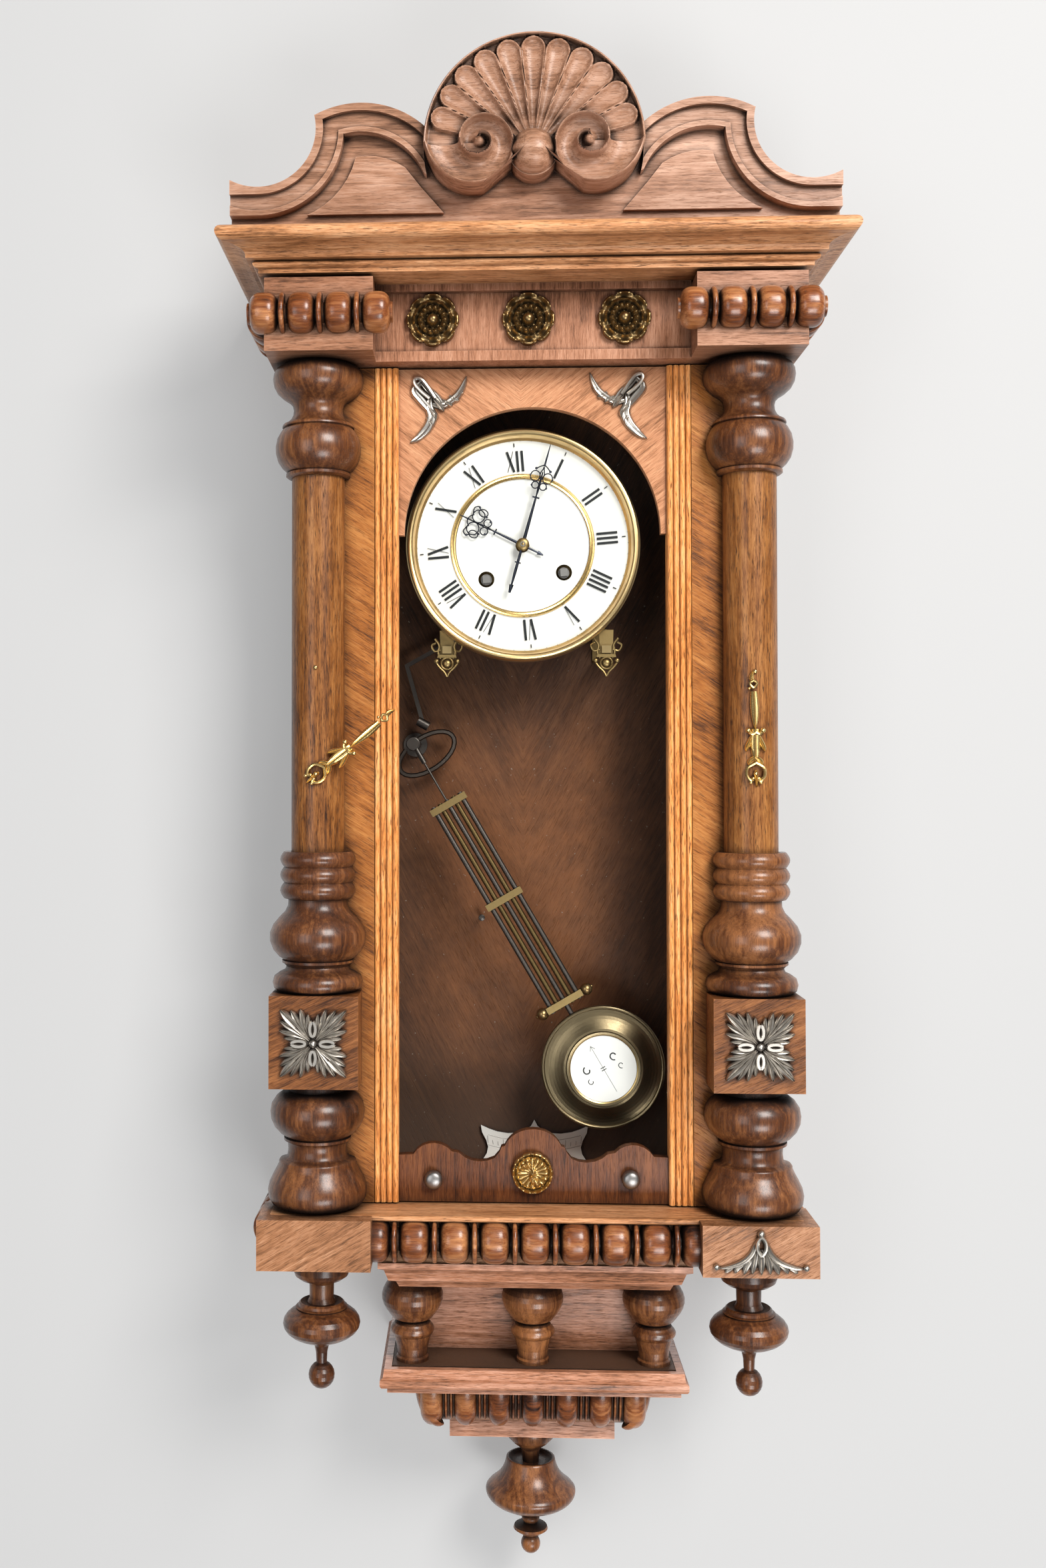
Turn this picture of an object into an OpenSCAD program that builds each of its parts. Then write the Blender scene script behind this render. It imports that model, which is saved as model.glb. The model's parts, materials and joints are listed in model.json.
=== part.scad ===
// Wall regulator clock with half columns, a shell crest and a gridiron pendulum.
// X runs to the right, Y into the wall, Z up. The wall is the plane y = 0.
// Heights below are measured from the middle of the door, and the whole clock is
// then set down so that the hole of its hanging plate is the origin.

/* [Case] */
// Width of the case and its door
case_w = 332; // [312:1:360]
// Height of the door
door_h = 585; // [560:1:620]
// Depth of the side walls, from backboard to door
side_d = 82; // [74:1:100]
// Thickness of the backboard
back_t = 16; // [12:1:20]
// Thickness of the side walls
side_t = 16; // [12:1:20]
// Height of wall left above and below a side window
window_margin = 57.5; // [40:0.5:90]
// Depth of the side windows
window_d = 46; // [30:1:52]
// Thickness of all glass
glass_t = 3; // [2:0.5:4]
// Running gap above, below and behind the door
door_gap = 1; // [0.5:0.1:1.6]

/* [Door] */
// Thickness of the door
door_t = 18; // [16:1:24]
// Half width of the glazed opening
pane_half = 94; // [88:1:98]
// Width of the light reeded strips
strip_w = 17; // [12:1:20]
// Height of the rails behind the arch and apron boards
rail_h = 10; // [8:1:16]
// Thickness of the arch and apron boards
board_t = 8; // [6:0.5:10]
// Radius of the arch over the dial
arch_r = 90; // [87:1:92]
// Drop of the arch centre below the top of the door
arch_drop = 117.5; // [108:0.5:126]
// Height of the apron board at its ends
apron_h = 32; // [28:1:38]

/* [Columns] */
// Distance of a column axis from the middle
column_x = 150; // [146:1:156]
// Radius of the shaft
shaft_r = 18.5; // [15:0.5:21]
// How far the column axis stands in front of the door
column_out = 6; // [2:0.5:9]
// Width of the square column block
block_w = 61; // [56:1:66]
// Height of the square column block
block_h = 63; // [58:1:70]
// Height of the turned foot under the block
foot_h = 85; // [80:1:90]

/* [Head] */
// Height of the frieze
frieze_h = 53; // [48:1:60]
// Thickness of the frieze board and its returns
frieze_t = 12; // [10:1:16]
// Half width of the frieze
frieze_half = 175; // [170:1:182]
// How far the corner blocks stand out from the frieze
block_out = 35; // [28:1:42]
// Width of the frieze corner blocks
head_block_w = 74; // [66:1:80]
// Height of the cornice
cornice_h = 26; // [24:1:34]
// Overhang of the cornice over the corner blocks
cornice_out = 26; // [20:1:32]

/* [Beads] */
// Radius of the turned beads of the frieze
head_bead_r = 14.3; // [11:0.1:16]
// Radius of the turned beads of the base
base_bead_r = 16; // [13:0.1:16.4]
// Distance from one bead to the next
bead_pitch = 26; // [24:0.1:29]
// Share of the pitch that a bead fills
bead_fill = 0.78; // [0.6:0.01:0.84]

/* [Crest] */
// Radius of the shell
shell_r = 75; // [70:0.1:80]
// Height of the shell centre above the cornice
shell_z = 61.5; // [58:0.5:68]
// Thickness of the pediment board
crest_t = 20; // [14:1:26]
// How far the crest mouldings stand out from the board
crest_out = 11; // [6:1:14]
// Number of flutes in the shell
flute_count = 11; // [7:2:13]
// Half width of the pediment
crest_half = 208.5; // [200:0.5:212]

/* [Base] */
// Height of the base
base_h = 34; // [33:1:38]
// Half width of the base at its side faces
base_half = 180; // [172:1:184]
// How far the base stands out in front of the door
base_out = 22; // [18:1:26]
// How far the base blocks stand out from the base
base_block_out = 23; // [20:1:28]
// Width of the base blocks
base_block_w = 77; // [66:1:78]
// Height of a pendant
pendant_h = 92; // [80:1:98]

/* [Bracket] */
// Height of the bracket panel
panel_h = 67; // [60:1:74]
// Half width of the bracket shelf
shelf_half = 107; // [98:1:112]
// Depth of the bracket shelf
shelf_d = 120; // [112:1:128]
// Height of the bracket shelf
shelf_h = 11; // [9:1:16]
// Height of the lobed cove under the shelf
cove_h = 31.5; // [26:0.5:36]
// Height of the plain block under the cove
cap_h = 13; // [10:1:18]
// Height of the bottom finial
finial_h = 97.5; // [90:0.5:108]

/* [Dial] */
// Outer radius of the bezel
bezel_r = 84; // [80:0.5:86]
// Radius of the white dial
dial_r = 76; // [72:0.5:77]
// Sideways place of the dial centre
dial_x = -6; // [-8:0.5:2]
// Drop of the dial centre below the top of the door
dial_drop = 121.5; // [117:0.5:125]
// Distance of the dial face from the wall
dial_y = 86; // [84:1:88]
// Turn of the movement in its seat, seen from the front
movement_tilt = 4.8; // [0:0.1:6]
// Hour shown
hour_shown = 10; // [0:1:11]
// Minutes shown
minutes_shown = 3.35; // [0:0.05:59]

/* [Movement] */
// Width of the movement plates
plate_w = 110; // [100:1:116]
// Height of the movement plates
plate_h = 92; // [84:1:96]
// Thickness of the movement plates
plate_t = 2.5; // [2:0.1:3]
// Room between the plates
plate_gap = 34; // [30:1:36]
// Sideways place of the winding arbors from the centre
arbor_x = 28; // [25:0.5:29]
// Drop of the winding arbors below the centre
arbor_z = 22; // [20:0.5:24]
// Radius of the winding arbors
arbor_r = 4; // [3:0.1:4.6]
// Radius of the spring barrels
barrel_r = 24; // [20:0.5:24.4]
// Radial play of every turning arbor in its hole
arbor_play = 0.06; // [0.03:0.01:0.09]
// Radius of the centre arbor
centre_r = 1.8; // [1.4:0.1:2]
// Distance between the centre and minute wheel arbors
motion_dist = 14; // [13.6:0.1:15]
// Play between meshing teeth
tooth_play = 0.16; // [0.12:0.01:0.24]

/* [Pendulum] */
// Lean of the pendulum from plumb, as it was left
pendulum_lean = 30.4; // [20:0.1:34]
// Height of the bob centre above the foot of the door, as the pendulum leans
bob_rise = 84.7; // [80:0.1:100]
// Distance of the pendulum from the wall
pendulum_y = 60; // [56:1:64]
// Radius of the bob
bob_r = 45; // [40:0.1:47]
// Thickness of the bob
bob_t = 16; // [12:1:18]
// Radius of a gridiron rod
rod_r = 1.9; // [1.4:0.1:2.2]
// Radius of the stem over the gridiron
stem_r = 0.8; // [0.6:0.1:1.4]
// Distance between neighbouring gridiron rods
rod_pitch = 5.6; // [5:0.1:6]

/* [Gong] */
// Sideways place of the gong post
gong_x = -86; // [-90:1:-80]
// Drop of the gong post below the top of the door
gong_drop = 264; // [260:0.5:267]
// Radius of the gong post's pin
gong_pin_r = 3; // [2.4:0.1:3.6]
// Half length of the gong's oval loop
gong_long = 23.7; // [22:0.1:25]
// Half width of the gong's oval loop
gong_short = 12.5; // [11.5:0.1:14]
// Radius of the gong wire
gong_wire_r = 1.9; // [1.4:0.1:2.1]

/* [Hanging] */
// Rise of the hanging hole above the top of the door
hanger_rise = 35.5; // [28:0.5:38]
// Radius of the hanging hole
hanger_r = 5; // [4:0.1:6]
// Thickness of the hanging plate
hanger_t = 2; // [1.5:0.1:3]

/* [Hidden] */
eps = 0.01;
walnut = [0.42, 0.24, 0.13];
oak = [0.78, 0.5, 0.26];
veneer = [0.62, 0.38, 0.25];
brass = [0.78, 0.64, 0.34];
silver = [0.66, 0.64, 0.6];
bronze = [0.3, 0.23, 0.15];
steel = [0.32, 0.33, 0.36];
enamel = [0.93, 0.92, 0.88];
pane = [0.8, 0.88, 0.9, 0.3];

case_half = case_w / 2;
door_top = door_h / 2;
door_low = -door_h / 2;
case_front = -(back_t + side_d);
leaf_gap = 2 * door_gap;
arch_z = door_top - arch_drop;
dial_z = door_top - dial_drop;
gong_z = door_top - gong_drop;
pendulum_l = (gong_z - door_low - bob_rise) / cos(pendulum_lean);
hanger_z = door_top + hanger_rise;
window_h = door_h - 2 * window_margin;
door_back = case_front - leaf_gap;
door_front = door_back - door_t;
head_z = door_top + door_gap;
base_z = door_low - door_gap;
head_top = head_z + frieze_h;
cornice_top = head_top + cornice_h;
frieze_front = door_front - 12;
block_front = frieze_front - block_out;
head_block_half = frieze_half + 8;
cornice_half = head_block_half + cornice_out + 4;
cornice_front = block_front - cornice_out;
crest_front = block_front + 21;
base_front = door_front - base_out;
base_block_half = base_half + 7.5;
base_low = base_z - base_h;
moulding_h = 20;
panel_low = base_low - moulding_h - panel_h;
shelf_low = panel_low - shelf_h;
cove_low = shelf_low - cove_h;
cap_low = cove_low - cap_h;
board_front = door_front + 4;
board_back = board_front + board_t;
dial_back = -dial_y + 1.2;
front_plate_y = dial_back + 12;
back_plate_y = front_plate_y + plate_t + plate_gap;
column_y = door_front - column_out;
fine = 72;

function arc(c, r, from, to, n) =
    [for (i = [0:n]) let (a = from + (to - from) * i / n) c + [r[0] * cos(a), r[1] * sin(a)]];
function bulge(z0, z1, r0, r1, n = 8) =
    [for (i = [0:n]) [r0 + (r1 - r0) * sin(180 * i / n), z0 + (z1 - z0) * i / n]];
function mirrored(points) = [for (i = [len(points) - 1:-1:0]) [-points[i][0], points[i][1]]];
function movement_point(x, z) =
    [dial_x + x * cos(movement_tilt) - z * sin(movement_tilt),
     dial_z + x * sin(movement_tilt) + z * cos(movement_tilt)];

module both() {
    children();
    mirror([1, 0, 0]) children();
}
module upright(y_back, thick) {
    translate([0, y_back, 0]) rotate([90, 0, 0]) linear_extrude(thick) children();
}
module turned(outline) {
    first = outline[0];
    last = outline[len(outline) - 1];
    rotate_extrude($fn = fine) polygon(concat([[0, first[1]]], outline, [[0, last[1]]]));
}
module pin_y(x, z, r, y_front, y_back) {
    translate([x, y_back, z]) rotate([90, 0, 0]) cylinder(r = r, h = y_back - y_front, $fn = 48);
}
// A moulding that runs along the front and both sides, mitred at the corners.
// The outline is a list of [set back from the widest line, height].
module mitred(outline, half, front, back = 0) {
    low = outline[0][1];
    high = outline[len(outline) - 1][1];
    front_line = [for (p = outline) [front + p[0], p[1]]];
    side_line = [for (p = outline) [half - p[0], p[1]]];
    intersection() {
        translate([-half - 1, 0, 0]) rotate([90, 0, 90]) linear_extrude(2 * half + 2)
            polygon(concat(front_line, [[back, high], [back, low]]));
        translate([0, back + 1, 0]) rotate([90, 0, 0]) linear_extrude(back - front + 2)
            polygon(concat(side_line, mirrored(side_line)));
    }
}
// A turned strip of beads and thin reels along X, with its middle at the origin.
module bead_strip(count, r, end_reels = false) {
    bead = bead_pitch * bead_fill;
    side = [for (i = [-4:4]) [r * (1 - 0.26 * pow(abs(i) / 4, 2.6)), i * bead / 8]];
    reel_w = (bead_pitch - bead) * 0.5;
    span = (count - 1) * bead_pitch + (end_reels ? bead_pitch + reel_w : bead);
    first_reel = end_reels ? -1 : 0;
    last_reel = end_reels ? count - 1 : count - 2;
    rotate([0, 90, 0]) {
        cylinder(r = r * 0.7, h = span, center = true, $fn = 40);
        for (i = [0:count - 1]) translate([0, 0, (i - (count - 1) / 2) * bead_pitch])
            rotate_extrude($fn = 40)
                polygon(concat([[0, -bead / 2]], side, [[0, bead / 2]]));
        for (i = [first_reel:last_reel]) translate([0, 0, (i + 0.5 - (count - 1) / 2) * bead_pitch])
            cylinder(r = r * 0.97, h = reel_w, center = true, $fn = 40);
    }
}
// A pressed metal flower: a dished plate with scalloped petals and a domed centre.
module rosette(r, petals, thick) {
    cylinder(r = r * 0.8, h = thick * 0.45, $fn = 40);
    for (i = [0:petals - 1]) rotate([0, 0, i * 360 / petals])
        translate([r * 0.74, 0, 0]) cylinder(r = r * 0.26, h = thick * 0.6, $fn = 24);
    rotate_extrude($fn = 40)
        polygon(concat([[r * 0.3, 0]], arc([r * 0.5, thick * 0.4], [r * 0.13, thick * 0.35], 0, 180, 6),
                       [[r * 0.3, thick * 0.3]]));
    rotate_extrude($fn = 32) polygon(concat([[0, 0], [r * 0.3, 0]],
        [for (a = [0:15:90]) [r * 0.24 * cos(a), thick * (0.3 + 0.7 * sin(a))]]));
}

// Backboard, side walls and head

module backboard() {
    color(walnut) difference() {
        translate([-case_half, -back_t, base_z]) cube([case_w, back_t, head_top - base_z]);
        pin_y(0, hanger_z, hanger_r + 4, -back_t * 0.75, eps);
        translate([-hanger_w / 2, -hanger_t, hanger_z - hanger_h / 2])
            cube([hanger_w, hanger_t + eps, hanger_h]);
    }
}
hanger_w = 44;
hanger_h = 26;
module hanger_plate() {
    color(steel) difference() {
        translate([-hanger_w / 2, -hanger_t, hanger_z - hanger_h / 2])
            cube([hanger_w, hanger_t, hanger_h]);
        pin_y(0, hanger_z, hanger_r, -hanger_t - 1, 1);
        for (s = [-1, 1]) pin_y(s * hanger_w * 0.38, hanger_z, 1.8, -hanger_t - 1, 1);
    }
}
module side_walls() {
    color(walnut) both() difference() {
        translate([case_half - side_t, case_front, base_z])
            cube([side_t, side_d, head_z - base_z]);
        window_space(side_t + 2, case_half - side_t - 1);
    }
}
module window_space(thick, x) {
    translate([x, case_front + (side_d - window_d) / 2, -window_h / 2])
        cube([thick, window_d, window_h]);
}
module side_glass() {
    color(pane) both() window_space(glass_t, case_half - side_t / 2 - glass_t / 2);
}
top_t = 14;
module case_top() {
    color(walnut) translate([-frieze_half + frieze_t, frieze_front + frieze_t, head_z])
        cube([2 * (frieze_half - frieze_t), -back_t - frieze_front - frieze_t, top_t]);
}
architrave_h = 7;
module frieze_board() {
    color(veneer) {
        translate([-frieze_half, frieze_front, head_z]) cube([2 * frieze_half, frieze_t, frieze_h]);
        both() difference() {
            translate([frieze_half - frieze_t, frieze_front, head_z])
                cube([frieze_t, -frieze_front, frieze_h]);
            translate([0, -back_t, head_z - 1]) cube([case_half, back_t + 1, frieze_h + 2]);
        }
        translate([-frieze_half + head_block_w - 8, frieze_front - 3, head_z])
            cube([2 * (frieze_half - head_block_w + 8), 3 + eps, architrave_h]);
        translate([-frieze_half + head_block_w - 8, frieze_front - 6, head_top - 5])
            cube([2 * (frieze_half - head_block_w + 8), 6 + eps, 5]);
    }
}
head_block_d = 32;
module frieze_blocks() {
    color(veneer) both() {
        translate([head_block_half - head_block_w, block_front, head_z])
            cube([head_block_w, block_out, frieze_h - 3]);
        translate([frieze_half, frieze_front - eps, head_z])
            cube([head_block_half - frieze_half, head_block_d, frieze_h - 3]);
    }
}
bead_z = head_z + 22;
module frieze_beads() {
    color(walnut) both() {
        difference() {
            translate([head_block_half - head_block_w / 2, block_front, bead_z])
                bead_strip(4, head_bead_r);
            translate([0, block_front, head_z - 10]) cube([300, 100, 100]);
        }
        difference() {
            translate([head_block_half, frieze_front, bead_z])
                rotate([0, 0, 90]) bead_strip(3, head_bead_r);
            translate([head_block_half - 100, frieze_front - 100, head_z - 10])
                cube([100, 250, 100]);
            translate([head_block_half - 50, frieze_front + head_block_d, head_z - 10])
                cube([100, 100, 100]);
            translate([head_block_half - 50, block_front - 100 + eps, head_z - 10])
                cube([100, 100, 100]);
        }
    }
}
rosette_x = 66.4;
rosette_shift = -3;
rosette_z = head_z + 28.8;
module frieze_rosettes() {
    color(bronze) for (x = [-rosette_x, 0, rosette_x])
        translate([x + rosette_shift, frieze_front, rosette_z]) rotate([90, 0, 0]) rosette(18.5, 8, 7);
}
nose_r = 5;
cove_foot = 0.7 * cornice_out;
cornice_line = concat(
    [[cornice_out, head_top], [cornice_out, head_top + 3]],
    arc([cornice_out - 1, head_top + 5.6], [2.6, 2.3], 270, 90, 6),
    [[cove_foot, head_top + 8.3], [cove_foot, head_top + 10.5]],
    arc([nose_r - 1, head_top + 10.5], [cove_foot - nose_r + 1, cornice_h - 20.5], 0, 90, 5),
    arc([nose_r, cornice_top - nose_r], [nose_r, nose_r], 250, 90, 8));
module cornice() {
    color(walnut) difference() {
        mitred(cornice_line, cornice_half, cornice_front);
        translate([-frieze_half + 20, frieze_front + 20, head_top - eps])
            cube([2 * frieze_half - 40, -frieze_front - back_t - 24, cornice_h - 8]);
    }
}

// Crest

crest_left = -crest_half;
tip = [crest_left + 58.4, 86.3];
cavetto_c = [crest_left + 19.5, 77];
cavetto_r = 40;
crown_c = [crest_left + 90, 27.7];
crown_r = 66.2;
band_w = 19;
end_h = 34.5;
panel_from = crest_left + 53;
panel_to = crest_left + 147;
panel_foot = 19.5;
tip_from = atan2(tip[1] - crown_c[1], tip[0] - crown_c[0]);
crown_to = 45;
function crest_outline() = concat(
    [[crest_left, 0], [crest_left, end_h]],
    arc(cavetto_c, [cavetto_r, cavetto_r], -90, 13, 8),
    arc(crown_c, [crown_r, crown_r], tip_from, crown_to, 8),
    [[-40, 70]]);
module crest_frame() {
    translate([0, 0, cornice_top]) children();
}
module pediment_board() {
    left = crest_outline();
    color(walnut) crest_frame() {
        upright(crest_front + crest_t, crest_t) polygon(concat(left, mirrored(left)));
        both() upright(crest_front + eps, 4) polygon(concat(
            [[panel_from, panel_foot]],
            arc([crest_left + 31, 72], [57, 57], -62, -13, 6),
            arc([crest_left + 93, 12], [48, 48], 90, 55, 4),
            [[crest_left + 131, 38], [panel_to, panel_foot]]));
    }
}
module crest_band(inset, width) {
    intersection() {
        difference() {
            translate(cavetto_c) circle(r = cavetto_r + inset + width, $fn = 90);
            translate(cavetto_c) circle(r = cavetto_r + inset, $fn = 90);
        }
        polygon([[crest_left, 0], [crest_left, cavetto_c[1]], cavetto_c, tip,
                 tip + [40, -25], [tip[0] + 40, 0]]);
    }
    translate([crest_left, cavetto_c[1] - cavetto_r - inset - width])
        square([cavetto_c[0] - crest_left, width]);
    intersection() {
        difference() {
            translate(crown_c) circle(r = crown_r - inset, $fn = 90);
            translate(crown_c) circle(r = crown_r - inset - width, $fn = 90);
        }
        polygon([tip + [0, 20], tip, tip + [40, -25], [crest_left + 146, 40], [crest_left + 146, 100]]);
    }
}
module pediment_mouldings() {
    color(walnut) crest_frame() both() difference() {
        union() {
            upright(crest_front, crest_out - 4) crest_band(0, band_w);
            upright(crest_front - crest_out + 4 + eps, 4) crest_band(0, 5);
            upright(crest_front - crest_out + 4 + eps, 2) crest_band(band_w - 3.5, 3.5);
        }
        translate([0, crest_front + 1, shell_z]) rotate([90, 0, 0])
            cylinder(r = shell_r, h = 40, $fn = fine);
    }
}
volute_x = 36.6;
volute_r = 27;
shell_t = 22;
boss_z = shell_z - 7;
boss_r = 14;
function shell_half_line() = concat(
    [for (a = [90:7.5:180]) [shell_r * cos(a), shell_z + shell_r * sin(a)]],
    arc([-volute_x, shell_z], [shell_r - volute_x, volute_r], 187, 270, 7),
    arc([-volute_x, shell_z], [volute_r, volute_r], 280, 335, 5),
    [[-7, boss_z - boss_r]]);
// A ribbon that winds inwards to a volute's eye, as one outline.
function spiral(turns, r0, r1, w, n) = concat(
    [for (i = [0:n]) let (t = i / n, a = 180 + 360 * turns * t, r = r0 + (r1 - r0) * t)
        [r * cos(a), r * sin(a)]],
    [for (i = [n:-1:0]) let (t = i / n, a = 180 + 360 * turns * t, r = r0 - w + (r1 - r0) * t)
        [r * cos(a), r * sin(a)]]);
module flute(length, w) {
    polygon(concat([[boss_r + 2, -0.09 * w]], arc([length - w / 2, 0], [w / 2, w / 2], -90, 90, 8),
                   [[boss_r + 2, 0.09 * w]]));
}
module shell_crest() {
    left = shell_half_line();
    step = 140 / (flute_count - 1);
    shell_front = crest_front - shell_t;
    color(walnut) crest_frame() {
        difference() {
            upright(crest_front, shell_t - 4) polygon(concat(left, mirrored(left)));
            for (i = [0:flute_count - 1]) upright(shell_front + 8, 12)
                translate([0, boss_z]) rotate(20 + i * step)
                    flute(shell_r - 4 - 2 * abs(cos(20 + i * step)), 13.5 * 10 / (flute_count - 1));
        }
        difference() {
            upright(shell_front + 4 + eps, 4) circle_ring(shell_r - 0.5, shell_r - 3.7);
            translate([-shell_r, shell_front - 1, shell_z - 2 * shell_r])
                cube([2 * shell_r, 10, 2 * shell_r]);
        }
        for (s = [-1, 1]) translate([s * volute_x, 0, shell_z]) {
            upright(shell_front + 9, 6.5) circle(r = 18, $fn = 48);
            upright(shell_front + 3, 6) mirror([s > 0 ? 1 : 0, 0])
                polygon(spiral(1.9, 18.5, 5, 4, 44));
            translate([0, shell_front + 2, 0]) rotate([90, 0, 0])
                rotate_extrude($fn = 32) polygon([[0, 0], [4.5, 0], [3.8, 3], [2, 5.4], [0, 6]]);
        }
        translate([0, shell_front + 4 + eps, boss_z]) rotate([90, 0, 0]) rotate_extrude($fn = 48)
            polygon(concat([[0, 0]], [for (a = [0:10:90]) [boss_r * cos(a), 9 * sin(a)]]));
    }
}
module circle_ring(outer, inner) {
    translate([0, shell_z]) difference() {
        circle(r = outer, $fn = 96);
        circle(r = inner, $fn = 96);
    }
}

// Base, pendants and bracket

ledge = 9;
ledge_h = 4;
module base_body() {
    nose = ledge_h / 2;
    color(walnut) {
        translate([-base_half, base_front, base_low]) cube([2 * base_half, -base_front, base_h]);
        translate([-base_half, base_front - ledge + nose, base_z - ledge_h])
            cube([2 * base_half, ledge - nose + eps, ledge_h]);
        translate([-base_half, base_front - ledge + nose, base_z - nose]) rotate([0, 90, 0])
            cylinder(r = nose, h = 2 * base_half, $fn = 32);
    }
}
module base_blocks() {
    color(veneer) both() difference() {
        translate([base_block_half - base_block_w, base_front - base_block_out, base_low])
            cube([base_block_w, base_block_out + 24, base_h]);
        translate([-1, base_front, base_low - 1]) cube([base_half + 1, 60, base_h + 2]);
        translate([-1, base_front - ledge, base_z - ledge_h]) cube([base_half + 1, 60, ledge_h + 1]);
    }
}
bead_mid = base_low + base_h / 2 - 0.8;
module base_beads() {
    gap = 2 * (base_block_half - base_block_w);
    color(walnut) {
        difference() {
            translate([0, base_front, bead_mid]) bead_strip(9, base_bead_r, true);
            translate([-300, base_front, base_low - 20]) cube([600, 100, 100]);
            both() translate([gap / 2, base_front - 60, base_low - 20]) cube([200, 100, 100]);
            translate([-300, base_front - ledge, base_z - ledge_h]) cube([600, 100, 100]);
        }
        both() difference() {
            translate([base_half, (base_front + 24) / 2, bead_mid]) rotate([0, 0, 90])
                bead_strip(6, base_bead_r, true);
            translate([base_half - 100, -300, base_low - 20]) cube([100, 400, 100]);
            translate([base_half - 50, base_front + 24 - 200, base_low - 20])
                cube([100, 200, 100]);
            translate([base_half - 50, 0, base_low - 20]) cube([100, 200, 100]);
        }
    }
}
module base_leaf_mount() {
    color(silver) translate([base_block_half - base_block_w / 2 - 2, base_front - base_block_out, base_low])
        upright(0, 2.6) {
            left = concat([[-24, 1.2]], arc([-31.8, 6.4], [3.4, 3.6], 265, 70, 6),
                          arc([-28, base_h - 1], [23, 23.5], -84, -12, 7),
                          arc([0, base_h - 6], [5.4, 4.6], 165, 95, 4));
            polygon(concat(left, mirrored(left)));
        }
}
pendant_x = 147;
module pendants() {
    k = pendant_h / 92;
    line = concat([[17, 0], [19.5, -2 * k], [19.5, -10.5 * k], [18.4, -13.5 * k], [15, -16 * k],
                   [9.6, -17.5 * k], [8.6, -19 * k], [8.4, -29 * k], [10, -32 * k], [14.6, -31.6 * k],
                   [15.8, -32.6 * k], [16.2, -34.4 * k], [18, -35.2 * k]],
                  arc([0, -46.4 * k], [26.8, 13.5 * k], 50, -75, 10),
                  [[5, -62.5 * k], [4, -67 * k], [3.7, -73.4 * k]],
                  arc([0, -82.6 * k], [9.1, 9.4 * k], 66, -90, 10));
    color(walnut) both() translate([pendant_x, column_y, base_low]) turned(line);
}
panel_out = 75;
module bracket_board() {
    color(walnut) {
        mitred([[14, base_low - moulding_h], [12, base_low - moulding_h + 4],
                [7, base_low - moulding_h + 6], [4, base_low - 6], [0, base_low - 4],
                [0, base_low]], shelf_half, base_front - 2);
        translate([-shelf_half + 12, -panel_out, panel_low])
            cube([2 * (shelf_half - 12), panel_out, panel_h + eps]);
    }
}
baluster_y = -97;
baluster_x = 85;
baluster_foot = 6;
rim_w = 8;
rim_h = 6;
module bracket_balusters() {
    h = panel_h - baluster_foot;
    line = concat([[13, 0]], bulge(-0.02 * h, -0.5 * h, 14, 21.8, 9), [[10, -0.53 * h], [12.6, -0.56 * h]],
                  bulge(-0.58 * h, -0.7 * h, 13.4, 15.6, 5), [[12.4, -0.76 * h], [11, -0.84 * h],
                  [10.4, -0.93 * h], [11.5, -0.95 * h], [11.5, -h]]);
    color(walnut) for (i = [-1:1])
        translate([i * baluster_x, baluster_y, base_low - moulding_h]) turned(line);
}
module bracket_shelf() {
    color(walnut) difference() {
        mitred([[5, shelf_low], [5, shelf_low + 3.4], [1, shelf_low + 4.2], [0, shelf_low + 6],
                [0, shelf_low + shelf_h - 1.4], [2, shelf_low + shelf_h], [3, shelf_low + shelf_h + rim_h],
                [5, shelf_low + shelf_h + rim_h]], shelf_half, -shelf_d);
        translate([rim_w - shelf_half, rim_w - shelf_d, panel_low])
            cube([2 * (shelf_half - rim_w), shelf_d, 2 * rim_h]);
    }
    color(walnut) for (i = [-1:1]) translate([i * baluster_x, baluster_y, panel_low - eps])
        cylinder(r = 11.5, h = baluster_foot, $fn = 48);
}
module bracket_cove() {
    n = 7;
    top_half = shelf_half - 26;
    low_half = 59;
    top_out = shelf_d - 16;
    low_out = 78;
    lobe = 2 * top_half / n;
    core = [for (i = [0:6]) let (t = i / 6) [(top_half - low_half) * (1 - sin(90 * t)) + 4,
                                             cove_low + cove_h * (1 - cos(90 * t))]];
    color(walnut) {
        mitred(concat(core, [[4, shelf_low]]), top_half, -top_out);
        for (i = [0:n - 1]) {
            t = (i - (n - 1) / 2) / ((n - 1) / 2);
            intersection() {
                translate([t * (top_half - lobe * 0.42), -top_out + 6, cove_low])
                    rotate([0, -t * 18, 0]) cylinder(r = lobe * 0.38, h = cove_h * 1.4, $fn = 32);
                translate([-200, -top_out - 20, cove_low]) cube([400, 60, cove_h]);
                mitred([for (p = core) [p[0] - 4, p[1]]], top_half + 2, -top_out - 3);
            }
        }
        translate([-low_half, -low_out, cap_low]) cube([2 * low_half, low_out, cap_h + eps]);
    }
}
finial_y = -45;
module bottom_finial() {
    h = finial_h;
    line = concat([[15, 0], [15.5, -0.02 * h], [14, -0.06 * h], [8.8, -0.1 * h], [8.4, -0.2 * h],
                   [9.6, -0.26 * h], [14.6, -0.29 * h], [16, -0.31 * h], [16.2, -0.335 * h],
                   [17.6, -0.36 * h], [20.6, -0.4 * h], [26.6, -0.435 * h], [31.8, -0.46 * h]],
                  arc([0, -0.48 * h], [33, 0.185 * h], 5, -78, 8),
                  [[4.4, -0.68 * h], [4.2, -0.7 * h]],
                  bulge(-0.705 * h, -0.77 * h, 4.6, 6.6, 5),
                  [[7.4, -0.78 * h], [12, -0.795 * h], [12.6, -0.812 * h], [8.4, -0.845 * h], [4, -0.865 * h]],
                  [for (a = [55:-14.5:-90]) [7.1 * cos(a), -h + 7.1 + 7.1 * sin(a)]]);
    color(walnut) translate([0, finial_y, cap_low]) turned(line);
}

// Door and its columns

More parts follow.
